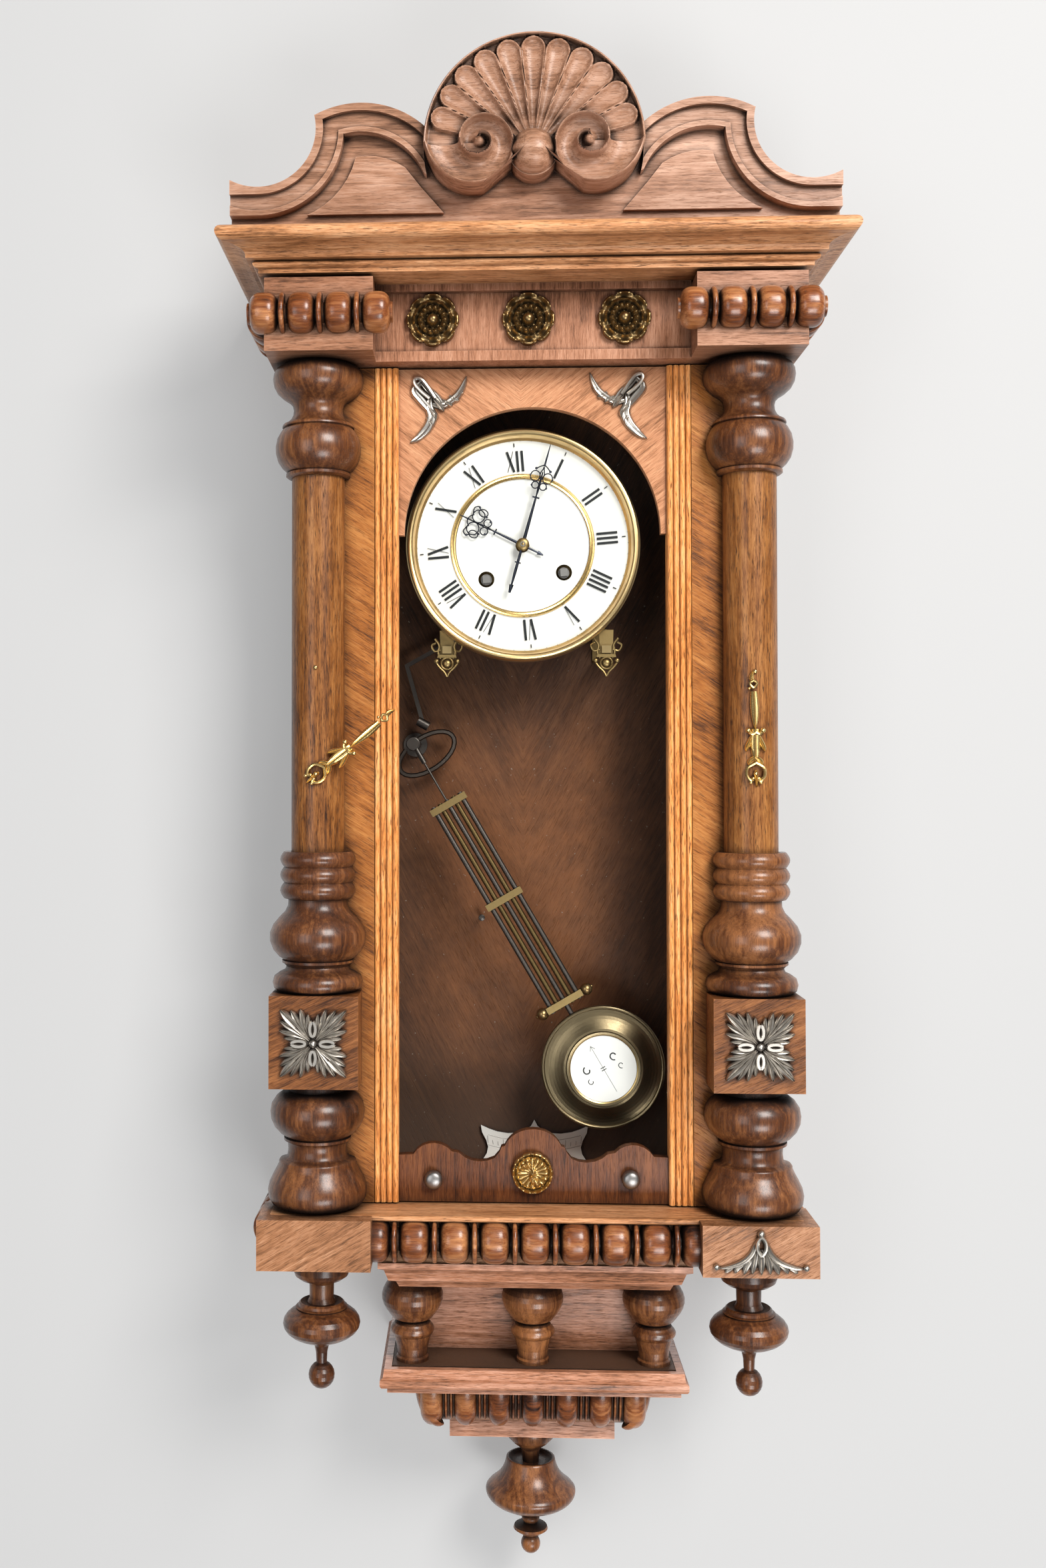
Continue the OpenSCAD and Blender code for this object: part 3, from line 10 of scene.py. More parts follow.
import bmesh
import bpy
import numpy as np
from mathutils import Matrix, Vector

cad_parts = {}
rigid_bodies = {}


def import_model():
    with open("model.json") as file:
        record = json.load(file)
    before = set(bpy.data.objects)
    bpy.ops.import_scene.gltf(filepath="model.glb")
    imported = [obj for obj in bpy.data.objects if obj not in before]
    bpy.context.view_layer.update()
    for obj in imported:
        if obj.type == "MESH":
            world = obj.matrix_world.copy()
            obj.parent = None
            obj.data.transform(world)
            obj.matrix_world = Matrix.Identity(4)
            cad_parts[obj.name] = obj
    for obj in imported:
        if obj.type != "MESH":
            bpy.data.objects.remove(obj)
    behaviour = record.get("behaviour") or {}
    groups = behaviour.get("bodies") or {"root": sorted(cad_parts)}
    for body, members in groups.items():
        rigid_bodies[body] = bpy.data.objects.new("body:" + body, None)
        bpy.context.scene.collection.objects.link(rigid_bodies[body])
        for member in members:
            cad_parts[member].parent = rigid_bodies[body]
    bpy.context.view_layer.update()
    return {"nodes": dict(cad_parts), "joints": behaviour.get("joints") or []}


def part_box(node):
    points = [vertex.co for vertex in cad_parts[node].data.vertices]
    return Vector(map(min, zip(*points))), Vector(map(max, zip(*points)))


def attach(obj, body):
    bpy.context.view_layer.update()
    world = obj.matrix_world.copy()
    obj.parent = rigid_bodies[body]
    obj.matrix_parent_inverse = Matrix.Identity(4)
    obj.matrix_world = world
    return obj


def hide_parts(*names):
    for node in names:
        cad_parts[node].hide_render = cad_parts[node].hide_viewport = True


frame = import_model()

# %% [markdown]
# A finish is easier to read as arithmetic than as a web of nodes. The small class below wraps one
# socket, and its operators add the Math nodes. Any other node comes from one method that takes the
# node's type, its settings and the values or links of its sockets.


# %% Shader arithmetic
class Number:
    """A number on a node's output. Arithmetic on it adds Math nodes to its tree."""

    def __init__(self, tree, socket):
        self.tree, self.socket = tree, socket

    def maths(self, operation, first, second=None, third=None):
        values = {i: v for i, v in enumerate((first, second, third)) if v is not None}
        return self.tree.node("ShaderNodeMath", {"operation": operation}, values)

    def __add__(self, other):
        return self.maths("ADD", self, other)

    def __sub__(self, other):
        return self.maths("SUBTRACT", self, other)

    def __rsub__(self, other):
        return self.maths("SUBTRACT", other, self)

    def __mul__(self, other):
        return self.maths("MULTIPLY", self, other)

    def __truediv__(self, other):
        return self.maths("DIVIDE", self, other)

    __radd__, __rmul__ = __add__, __mul__

    def sine(self):
        return self.maths("SINE", self)

    def size(self):
        return self.maths("ABSOLUTE", self)

    def kept(self):
        """The number kept between 0 and 1."""
        return self.maths("MINIMUM", self.maths("MAXIMUM", self, 0.0), 1.0)

    def step(self, low, high):
        """0 below low, 1 above high and smooth between."""
        return self.tree.node("ShaderNodeMapRange", {"interpolation_type": "SMOOTHSTEP"},
                              {"Value": self, "From Min": low, "From Max": high}, "Result")


class Finish:
    """A material and the few kinds of node that its recipe uses."""

    def __init__(self, name, **shader_values):
        self.material = bpy.data.materials.new(name)
        self.material.use_nodes = True
        self.nodes, self.links = self.material.node_tree.nodes, self.material.node_tree.links
        self.shader = self.nodes["Principled BSDF"]
        self.place = self.node("ShaderNodeTexCoord", {}, {}, "Object")
        for socket, value in shader_values.items():
            self.set(socket.replace("_", " "), value)

    def node(self, kind, settings, values, output=0):
        made = self.nodes.new(kind)
        for setting, value in settings.items():
            if setting == "stops":
                ramp = made.color_ramp.elements
                while len(ramp) < len(value):
                    ramp.new(0.5)
                for element, (at, colour) in zip(ramp, value):
                    element.position, element.color = at, (*colour, 1.0)
            else:
                setattr(made, setting, value)
        for socket, value in values.items():
            self.join(made.inputs[socket], value)
        return Number(self, made.outputs[output])

    def join(self, socket, value):
        if isinstance(value, Number):
            self.links.new(value.socket, socket)
        elif socket.type == "RGBA" and not hasattr(value, "__len__"):
            socket.default_value = (value, value, value, 1.0)
        elif socket.type == "RGBA":
            socket.default_value = (*value[:3], 1.0)
        else:
            socket.default_value = value

    def set(self, socket, value):
        self.join(self.shader.inputs[socket], value)

    def mapped(self, scale, turn=(0, 0, 0), centre=(0, 0, 0)):
        """Object coordinates about a centre, turned, then scaled along each axis."""
        about = self.node("ShaderNodeVectorMath", {"operation": "SUBTRACT"}, {0: self.place, 1: centre})
        turned = self.node("ShaderNodeMapping", {"vector_type": "POINT"}, {"Vector": about, "Rotation": turn})
        return self.node("ShaderNodeVectorMath", {"operation": "MULTIPLY"}, {0: turned, 1: scale})

    def noise(self, vector, scale=1.0, detail=3.0, rough=0.55, warp=0.0):
        return self.node("ShaderNodeTexNoise", {}, {"Vector": vector, "Scale": scale, "Detail": detail,
                                                    "Roughness": rough, "Distortion": warp})

    def ramp(self, number, *stops):
        return self.node("ShaderNodeValToRGB", {"stops": stops}, {"Fac": number})

    def mix(self, share, first, second, blend="MIX"):
        return self.node("ShaderNodeMix", {"data_type": "RGBA", "blend_type": blend},
                         {0: share, 6: first, 7: second}, 2)

    def axis(self, vector, which):
        return self.node("ShaderNodeSeparateXYZ", {}, {0: vector}, which)

    def shelter(self, distance, inside=False):
        """1 in the open and 0 deep in a corner, or 0 on a sharp edge when looked at from inside."""
        return self.node("ShaderNodeAmbientOcclusion", {"samples": 4, "inside": inside},
                         {"Distance": distance}, "AO")

    def bump(self, height, distance, strength=1.0):
        self.set("Normal", self.node("ShaderNodeBump", {}, {"Height": height, "Distance": distance,
                                                           "Strength": strength}))


# %% [markdown]
# The photograph was taken from 1.23 m in front of the wall, a little left of the clock's middle.
# Level lines in it draw together slightly to the left, so the camera is turned a few degrees that
# way, and the lens shift brings the clock back into the picture. seen_at() turns that round: it
# gives the point of the clock that lies behind a pixel of the photograph, at a known depth.

# %% Camera
PICTURE_W, PICTURE_H = 1568, 2351
FOCAL_PIXELS = 2378
AXIS_X, AXIS_Y = 608, 1108
CAMERA_PLACE = Vector((-0.0377, -1.230, -0.3202))
CAMERA_TURN, CAMERA_TILT = math.radians(2.64), math.radians(1.19)
SENSOR = 36.0

camera = bpy.data.objects.new("camera", bpy.data.cameras.new("camera"))
camera.data.sensor_width = SENSOR
camera.data.lens = SENSOR * FOCAL_PIXELS / PICTURE_H
camera.data.shift_x = (PICTURE_W / 2 - AXIS_X) / PICTURE_H
camera.data.shift_y = (AXIS_Y - PICTURE_H / 2) / PICTURE_H
camera.location = CAMERA_PLACE
camera.rotation_euler = (math.radians(90) + CAMERA_TILT, 0, CAMERA_TURN)
bpy.context.scene.collection.objects.link(camera)
bpy.context.scene.camera = camera
print("lens", round(camera.data.lens, 2), "mm, shift", round(camera.data.shift_x, 4))


def seen_at(px, py, y):
    """The point in the plane y that the photograph shows at a pixel."""
    ray = camera.rotation_euler.to_matrix() @ Vector((px - AXIS_X, AXIS_Y - py, -FOCAL_PIXELS))
    return CAMERA_PLACE + ray * ((y - CAMERA_PLACE.y) / ray.y)


# %% [markdown]
# A soft lamp high on the right makes the highlights and throws the short shadow to the left, and a
# wide one on the left keeps that side open. The wall is pale and matt. It glows a little for the
# camera, so that it stays as bright as the photograph's ground and still holds the shadow. From
# behind it isn't drawn and a lamp shines through it, so that the clock's back can be looked at.

# %% Lights and wall
WALL_COLOUR = (0.34, 0.34, 0.34)
WALL_GLOW = 0.85
WALL_REACH, WALL_Y = 4.0, 0.0005
WORLD_STRENGTH = 0.12


def lamp(name, place, aim, size, power, colour=(1, 1, 1)):
    data = bpy.data.lights.new(name, "AREA")
    data.shape, data.size, data.size_y = "RECTANGLE", size[0], size[1]
    data.energy, data.color = power, colour
    made = bpy.data.objects.new(name, data)
    made.location = place
    made.rotation_euler = (Vector(aim) - Vector(place)).to_track_quat("-Z", "Y").to_euler()
    bpy.context.scene.collection.objects.link(made)


AIM = (0, -0.1, -0.35)
lamp("key_lamp", (1.0, -1.9, 1.0), AIM, (1.0, 1.0), 70, (1.0, 0.98, 0.95))
lamp("fill_lamp", (-1.1, -2.2, -0.2), AIM, (1.0, 1.6), 15, (0.98, 0.99, 1.0))
lamp("low_lamp", (0.6, -2.0, -1.5), AIM, (1.0, 0.8), 30)
lamp("back_lamp", (0.0, 2.0, 0.4), AIM, (0.8, 0.8), 14)

world = bpy.data.worlds.new("studio")
bpy.context.scene.world = world
world.use_nodes = True
world.node_tree.nodes["Background"].inputs["Color"].default_value = (1.0, 1.0, 1.0, 1.0)
world.node_tree.nodes["Background"].inputs["Strength"].default_value = WORLD_STRENGTH

wall_mesh = bpy.data.meshes.new("wall")
wall_mesh.from_pydata([(-WALL_REACH, WALL_Y, -WALL_REACH), (WALL_REACH, WALL_Y, -WALL_REACH),
                       (WALL_REACH, WALL_Y, WALL_REACH), (-WALL_REACH, WALL_Y, WALL_REACH)],
                      [], [(0, 1, 2, 3)])
wall = bpy.data.objects.new("wall", wall_mesh)
bpy.context.scene.collection.objects.link(wall)
wall.visible_shadow = False
wall_finish = Finish("wall_paint", Base_Color=WALL_COLOUR, Roughness=0.9, Specular_IOR_Level=0.1)
wall_finish.set("Emission Color", WALL_COLOUR)
path = wall_finish.nodes.new("ShaderNodeLightPath")
KINDS_OF_RAY = ("Is Camera Ray", "Is Glossy Ray", "Is Transmission Ray")
shown = sum(Number(wall_finish, path.outputs[kind]) for kind in KINDS_OF_RAY)
wall_finish.set("Emission Strength", shown.kept() * WALL_GLOW)
behind = wall_finish.node("ShaderNodeNewGeometry", {}, {}, "Backfacing")
nothing = wall_finish.node("ShaderNodeBsdfTransparent", {}, {"Color": (1, 1, 1)})
paint = Number(wall_finish, wall_finish.shader.outputs[0])
both = wall_finish.node("ShaderNodeMixShader", {}, {0: behind, 1: paint, 2: nothing})
wall_finish.links.new(both.socket, wall_finish.nodes["Material Output"].inputs["Surface"])
wall_mesh.materials.append(wall_finish.material)
bpy.context.scene.view_settings.view_transform = "Standard"

# %% [markdown]
# All the wood shares one recipe. Stretched noise makes the growth bands, finer noise the fibres,
# and a threshold on a still finer one the open pores. Ambient occlusion from outside darkens the
# recesses, partly as old stain settled there and partly as painted shade, and from inside it finds
# the edges, where the stain is rubbed off. The woods differ in colours, the grain's direction, gloss
# and coat, in how wide the stain and painted shade reach and how deep they soak, and in how fine
# and blotchy the figure is.
# A veneer that was opened like a book is mirrored about its seam, and its grain slants.

# %% Wood
TURNS = {"x": (0, 0, 0), "y": (0, 0, math.radians(90)), "z": (0, math.radians(90), 0)}


def wood(name, grain, dark, mid, pale, band=1.0, pore=0.5, gloss=0.42, stain_and_shade=0.9, wear=0.5,
         turn=None, blotch=0.5, coat=0.0, reach=0.007, relief=1.0, seam=None, patch=None, soak=0.8, fine=1.0):
    made = Finish(name, Coat_Roughness=0.24, Coat_IOR=1.4, Specular_IOR_Level=0.25)
    if seam is not None:
        side = (made.axis(made.place, 0) - seam).size()
        parts = {0: side, 1: made.axis(made.place, 1), 2: made.axis(made.place, 2)}
        made.place = made.node("ShaderNodeCombineXYZ", {}, parts)
    turning = turn or TURNS[grain]
    bands = made.noise(made.mapped((3 * band, 30 * band, 30 * band), turning), 1.0, 3.0, 0.55, 0.7)
    streaks = made.noise(made.mapped((16, 380, 380), turning), 1.0, 3.0, 0.65, 0.3)
    fibres = made.noise(made.mapped((110, 1400, 1400), turning), 1.0, 3.0, 0.7)
    pores = made.noise(made.mapped((120, 1700, 1700), turning), 1.0, 2.0, 0.6).step(0.56, 0.7)
    cloud = made.noise(made.mapped((11, 17, 17), turning, (0.03, 0.01, 0.07)), 1.0, 4.0, 0.65, 0.6)
    rings = (bands * 40.0).sine() * 0.5 + 0.5
    tone = (0.5 + (rings - 0.5) * 0.15 + (streaks - 0.5) * (0.4 + 0.5 * fine) + (fibres - 0.5) * fine
            + (cloud - 0.5) * blotch * 1.6).kept()
    colour = made.ramp(tone, (0.14, dark), (0.46, mid), (0.84, pale))
    colour = made.mix(pores * pore, colour, tuple(0.35 * c for c in dark))
    if patch:
        colour = patch(made, colour)
    # Painted shade: this occlusion mask darkens recesses and faces tucked under other parts, partly real stain and
    # partly shade.
    hollow = (1.0 - made.shelter(reach)).step(0.1, soak) * stain_and_shade
    colour = made.mix(hollow, colour, tuple(0.22 * c for c in dark))
    edge = (1.0 - made.shelter(0.0016, True)).step(0.25, 0.9) * wear
    colour = made.mix(edge * (cloud * 1.4).kept(), colour, tuple(min(1.0, 1.3 * c) for c in pale))
    made.set("Base Color", colour)
    made.set("Coat Weight", (1.0 - hollow) * coat)
    made.set("Roughness", (gloss + (cloud - 0.5) * 0.2 + pores * 0.15 + hollow * 0.25).kept())
    made.bump(streaks * 0.2 + fibres * 0.45 - pores * 0.7, 0.00025 * relief, 0.8)
    return made.material


CARVED = dict(dark=(0.07, 0.028, 0.014), mid=(0.36, 0.18, 0.105), pale=(0.62, 0.38, 0.27))
TURNED = dict(dark=(0.014, 0.004, 0.002), mid=(0.11, 0.034, 0.01), pale=(0.34, 0.13, 0.042))
walnut_x = wood("carved_walnut_along_x", "x", **CARVED, gloss=0.36, reach=0.007, coat=0.2,
                stain_and_shade=1.0, soak=0.5, fine=0.5, pore=0.3)
walnut_z = wood("turned_walnut_along_z", "z", **TURNED, coat=0.85, gloss=0.42, blotch=0.8, wear=0.2,
                stain_and_shade=1.0, reach=0.028, pore=0.35, soak=0.62, fine=0.4, band=1.3)
# Painted light: the bracket walnut is paler than the carved walnut, to stand in for light on the shaded bracket board
# and shelf.
bracket_wood_painted_light = wood("bracket_walnut_painted_light", "x", (0.08, 0.03, 0.013), (0.42, 0.175, 0.09),
                    (0.7, 0.37, 0.25), gloss=0.36, reach=0.016, coat=0.2)
frieze_block_wood = wood("frieze_block_walnut", "x", (0.09, 0.035, 0.016), (0.32, 0.14, 0.072),
                         (0.5, 0.26, 0.16), gloss=0.36, reach=0.016, coat=0.2)
# Painted light: the cornice walnut is paler than the carved walnut, to stand in for light on the cornice's and base's
# dim front faces.
cornice_wood_painted_light = wood("cornice_walnut_painted_light", "x", (0.12, 0.045, 0.014), (0.54, 0.235, 0.095),
                    (0.8, 0.43, 0.22), gloss=0.36, pore=0.75, coat=0.1, reach=0.009)
bead_wood = wood("bead_walnut", "x", (0.02, 0.005, 0.002), (0.22, 0.062, 0.017), (0.56, 0.24, 0.09),
                 coat=1.0, gloss=0.33, stain_and_shade=1.0, blotch=1.0, wear=0.3, reach=0.016, soak=0.64,
                 pore=0.3, fine=0.4)
frieze_wood = wood("frieze_veneer", "z", (0.12, 0.045, 0.02), (0.36, 0.155, 0.08),
                   (0.55, 0.28, 0.17), band=0.6, pore=0.3, reach=0.02, coat=0.1)
stile_wood = wood("stile_veneer", "x", (0.08, 0.025, 0.005), (0.34, 0.108, 0.017), (0.52, 0.21, 0.052),
                  band=0.8, turn=(0, math.radians(-32), 0), coat=0.1, reach=0.022, blotch=0.7)
arch_wood = wood("arch_veneer", "x", (0.22, 0.09, 0.036), (0.5, 0.22, 0.105), (0.66, 0.34, 0.18),
                 band=0.6, pore=0.25, seam=-0.008, turn=(0, math.radians(38), 0), reach=0.01)
apron_wood = wood("apron_veneer", "z", (0.03, 0.008, 0.002), (0.11, 0.03, 0.006),
                  (0.2, 0.064, 0.016), band=0.7, pore=0.4, reach=0.012, coat=0.3)
shaft_wood = wood("shaft_veneer", "z", (0.025, 0.008, 0.003), (0.205, 0.07, 0.015), (0.41, 0.175, 0.05),
                  band=1.0, pore=0.9, coat=0.3, gloss=0.4, reach=0.016)
oak_wood = wood("light_oak", "z", (0.3, 0.09, 0.018), (0.82, 0.31, 0.08), (0.98, 0.52, 0.22),
                band=1.2, pore=1.0, gloss=0.36, relief=2.0, reach=0.003, blotch=0.4, stain_and_shade=0.6)
column_block_wood = wood("column_block_walnut", "z", (0.05, 0.015, 0.004), (0.2, 0.068, 0.018),
                         (0.36, 0.14, 0.045), band=0.9, gloss=0.4, coat=0.2, reach=0.016, turn=(0, math.radians(24), 0))
block_wood = wood("block_walnut", "y", (0.1, 0.04, 0.015), (0.34, 0.145, 0.062), (0.55, 0.28, 0.15),
                  gloss=0.4, reach=0.014, turn=(0, math.radians(30), 0))
case_wood = wood("case_side_walnut", "z", (0.05, 0.02, 0.009), (0.17, 0.075, 0.036), (0.3, 0.15, 0.08))


def backboard_patches(made, colour):
    """The back has a lighter patch 0.43 m down, is darker towards its foot, and specks of dust lie on it."""
    up, side = made.axis(made.place, 2), made.axis(made.place, 0)
    drift = made.noise(made.place, 7.0, 3.0, 0.6, 0.8) - 0.5
    # A lighter patch about 0.43 m down, near the middle.
    lighter_patch = (1.0 - ((up + 0.43 + drift * 0.2) / 0.12).size()).step(-0.8, 0.7)
    lighter_patch = lighter_patch * (1.0 - ((side + drift * 0.05) / 0.1)).step(-0.2, 0.7)
    grain = made.noise(made.mapped((60, 900, 60), (0, math.radians(62), 0)), 1.0, 3.0, 0.7)
    colour = made.mix(lighter_patch * (0.3 + grain), colour, (0.13, 0.045, 0.013), "ADD")
    # Darker towards the foot of the board.
    low = (-0.5 - up).step(0.0, 0.1)
    colour = made.mix(low * 0.7, colour, (0.085, 0.056, 0.042))
    dust = made.noise(made.mapped((1, 1, 1)), 420.0, 2.0, 0.5).step(0.71, 0.78)
    return made.mix(dust * 0.5, colour, (0.3, 0.26, 0.22))


back_wood = wood("backboard_walnut", "z", (0.02, 0.008, 0.004), (0.05, 0.019, 0.008),
                 (0.09, 0.037, 0.015), band=0.5, gloss=0.5, seam=-0.004,
                 turn=(0, math.radians(62), 0), blotch=0.8, reach=0.02, patch=backboard_patches)
print("woods made")

# %% [markdown]
# The metals are old: brass dulled to brown in its hollows, silvered castings nearly black there,
# and bronze that shows gold only where hands have touched it. Each mixes a clean and a tarnished
# colour by shelter and noise, and roughness follows the same mask.


# %% Metal
def metal(name, clean, tarnish, reach=0.003, gloss=0.3, amount=0.8, spots=260.0):
    made = Finish(name, Metallic=1.0)
    speckle = made.noise(made.place, spots, 4.0, 0.65)
    hollow = (1.0 - made.shelter(reach)).step(0.08, 0.7)
    dull = (hollow * amount + (speckle - 0.45) * 0.7 * amount).kept()
    made.set("Base Color", made.mix(dull, clean, tarnish))
    made.set("Roughness", (gloss + dull * 0.35).kept())
    made.bump(speckle, 0.00008, 0.5)
    return made.material


brass = metal("aged_brass", (0.62, 0.44, 0.19), (0.13, 0.08, 0.03))
gilt = metal("gilt_brass", (0.86, 0.6, 0.24), (0.3, 0.17, 0.05), gloss=0.26, amount=0.6)
silver = metal("antique_silver", (0.62, 0.58, 0.52), (0.07, 0.055, 0.045), reach=0.004, amount=1.0)
bronze = metal("dark_bronze", (0.3, 0.2, 0.09), (0.03, 0.022, 0.014), gloss=0.34, amount=0.9)
steel = metal("dull_steel", (0.3, 0.29, 0.28), (0.07, 0.06, 0.055), gloss=0.38)
blued = metal("blued_steel", (0.05, 0.055, 0.075), (0.015, 0.014, 0.016), gloss=0.3)
bob_brass = metal("bob_brass", (0.2, 0.155, 0.09), (0.06, 0.045, 0.028), gloss=0.34, amount=0.5, reach=0.006)
bezel_gilt = metal("bezel_gilt", (0.78, 0.57, 0.28), (0.36, 0.22, 0.08), gloss=0.28, amount=0.4)
rosette_gilt = metal("rosette_gilt", (0.6, 0.42, 0.18), (0.08, 0.04, 0.015), gloss=0.3, amount=1.0,
                     reach=0.0015)
dark_steel = metal("dark_steel", (0.1, 0.088, 0.08), (0.035, 0.03, 0.026), gloss=0.4)
old_brass = metal("unpolished_brass", (0.3, 0.21, 0.09), (0.05, 0.036, 0.02), gloss=0.4, amount=0.8)
rod_brass = metal("rod_brass", (0.14, 0.095, 0.04), (0.04, 0.028, 0.016), gloss=0.42, amount=0.8)
gong_metal = metal("gong_wire_steel", (0.09, 0.075, 0.065), (0.03, 0.024, 0.02), gloss=0.45)


def enamel_finish():
    """White enamel, clouded a little by age, under a thin gloss."""
    made = Finish("white_enamel", Roughness=0.22, Coat_Weight=0.4, Coat_Roughness=0.08)
    cloud = made.noise(made.place, 30.0, 3.0)
    made.set("Base Color", made.mix((cloud * 0.6).kept(), (0.86, 0.86, 0.84), (0.78, 0.77, 0.73)))
    return made.material


def glass_finish():
    """Thin glass: clear, with a faint mirror that grows at a slant."""
    made = Finish("window_glass")
    clear = made.node("ShaderNodeBsdfTransparent", {}, {"Color": (0.98, 0.985, 0.98)})
    shine = made.node("ShaderNodeBsdfGlossy", {}, {"Color": (1, 1, 1), "Roughness": 0.02})
    slant = made.node("ShaderNodeLayerWeight", {}, {"Blend": 0.5}, "Facing")
    slant = (slant * slant * slant * slant * 0.4 + 0.004).kept()
    both = made.node("ShaderNodeMixShader", {}, {0: slant, 1: clear, 2: shine})
    made.links.new(both.socket, made.nodes["Material Output"].inputs["Surface"])
    return made.material


enamel = enamel_finish()
glass = glass_finish()
print("metals, enamel and glass made")

# %% [markdown]
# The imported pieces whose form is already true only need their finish. One list pairs each node
# with a material, and a second pass below replaces those that carry fine ornament.

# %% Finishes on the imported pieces
FINISHES = {
    "backboard": back_wood, "side_walls": case_wood, "side_glass": glass, "case_top": case_wood,
    "frieze_board": frieze_wood, "frieze_blocks": frieze_block_wood, "frieze_beads": bead_wood,
    "frieze_rosettes": bronze, "cornice": cornice_wood_painted_light, "pediment_board": walnut_x,
    "pediment_mouldings": walnut_x, "shell_crest": walnut_x, "base_body": cornice_wood_painted_light,
    "base_blocks": block_wood, "base_beads": bead_wood, "base_leaf_mount": silver,
    "pendants": walnut_z, "bracket_board": bracket_wood_painted_light, "bracket_balusters": walnut_z,
    "bracket_shelf": bracket_wood_painted_light, "bracket_cove": bracket_wood_painted_light, "bottom_finial": walnut_z,
    "beat_scale": enamel, "hanger_plate": steel, "gong_coil": gong_metal, "gong_post": dark_steel,
    "hinge_case_half": brass, "movement_brackets": brass, "front_plate": brass,
    "back_plate": brass, "spring_barrels": brass, "dial": enamel, "bezel": bezel_gilt,
    "door_frame": stile_wood, "light_strips": oak_wood, "arch_board": arch_wood,
    "apron_board": apron_wood, "door_glass": glass, "column_capitals": walnut_z,
    "column_shafts": shaft_wood, "column_bases": walnut_z, "acanthus_mounts": silver,
    "corner_mounts": silver, "right_column_mount": gilt, "left_column_mount": gilt,
    "brass_trim": gilt, "hinge_door_half": brass, "minute_hand": blued, "centre_arbor": steel,
    "minute_wheel": brass, "hour_hand": blued, "hour_wheel": brass, "time_arbor": steel,
    "strike_arbor": steel, "gridiron_rods": steel, "gridiron_bars": old_brass,
    "pendulum_bob": bob_brass, "bob_disc": enamel, "pendulum_leader": steel, "strike_hammer": dark_steel,
}
for node_name, piece in frame["nodes"].items():
    piece.data.materials.clear()
    piece.data.materials.append(FINISHES[node_name])
print("dressed", len(FINISHES), "packed pieces")

# %% [markdown]
# The ornaments are modelled as a chaser would see them: leaves, cords and discs laid on a flat
# ground. Each is drawn flat in millimetres, as right, up and out, and then set on the clock. A
# Shape gathers such closed forms, and becomes one piece when they are all there.

# %% Forms
MM = 0.001
OUT = np.array([0.0, 0.0, 1.0])
SUNK = 0.4


class Shape:
    """Closed forms gathered into one piece of the clock."""

    def __init__(self):
        self.points, self.faces, self.count = [], [], 0

    def add(self, points, faces):
        self.faces += [tuple(self.count + i for i in face) for face in faces]
        self.points.append(np.asarray(points, float).reshape(-1, 3))
        self.count += len(self.points[-1])

    def loft(self, rows):
        """A skin over rings of points, closed around and at both ends."""
        rings, around = rows.shape[:2]
        faces = [(i * around + j, i * around + (j + 1) % around,
                  (i + 1) * around + (j + 1) % around, (i + 1) * around + j)
                 for i in range(rings - 1) for j in range(around)]
        last = (rings - 1) * around
        self.add(rows, faces + [tuple(range(around)), tuple(last + j for j in range(around))])

    def object(self, name, sharp=45):
        mesh = bpy.data.meshes.new(name)
        mesh.from_pydata(np.concatenate(self.points).tolist(), [], self.faces)
        work = bmesh.new()
        work.from_mesh(mesh)
        bmesh.ops.recalc_face_normals(work, faces=work.faces)
        work.to_mesh(mesh)
        work.free()
        mesh.shade_smooth()
        mesh.set_sharp_from_angle(angle=math.radians(sharp))
        made = bpy.data.objects.new(name, mesh)
        bpy.context.scene.collection.objects.link(made)
        return made

    def piece(self, name, finish, body, slot, replaces=(), sharp=45):
        made = self.object(name, sharp)
        made.data.materials.append(finish)
        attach(made, body)
        if replaces:
            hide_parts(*replaces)
        print(name, len(made.data.polygons), "faces")
        return made


def on_face(points, place, turn=0.0, flip=1):
    """Points drawn as (right, up, out) in millimetres, set on the clock with their centre at place."""
    right, up, out = (np.asarray(points)[..., i] * MM for i in range(3))
    right = right * flip
    c, s = math.cos(turn), math.sin(turn)
    return np.stack([place[0] + c * right - s * up, place[1] - out, place[2] + s * right + c * up], -1)


def smooth_path(points, count):
    """A smooth curve through given points (right, up) or (right, up, out)."""
    p = np.array([tuple(q) + (0.0,) * (3 - len(q)) for q in points], float)
    p = np.vstack([2 * p[0] - p[1], p, 2 * p[-1] - p[-2]])
    made = []
    for t in np.linspace(0, len(p) - 3, count):
        i = min(int(t), len(p) - 4)
        f = t - i
        a, b, c, d = p[i:i + 4]
        made.append(0.5 * (2 * b + (c - a) * f + (2 * a - 5 * b + 4 * c - d) * f * f
                           + (3 * b - 3 * c + d - a) * f ** 3))
    return np.array(made)


def across(path):
    """The sideways direction at each point of a path."""
    along = np.gradient(path, axis=0)
    side = np.cross(OUT, along)
    return side / np.maximum(np.linalg.norm(side, axis=1), 1e-9)[:, None]


def cord(path, radius, sides=8, flat=1.0):
    """Rings of a round or flattened cord along a path."""
    radius = np.broadcast_to(np.asarray(radius, float), (len(path),))
    angle = np.linspace(0, 2 * math.pi, sides, endpoint=False)
    side = across(path)
    return (path[:, None] + side[:, None] * (np.cos(angle) * radius[:, None])[..., None]
            + OUT * (np.sin(angle) * radius[:, None] * flat)[..., None])


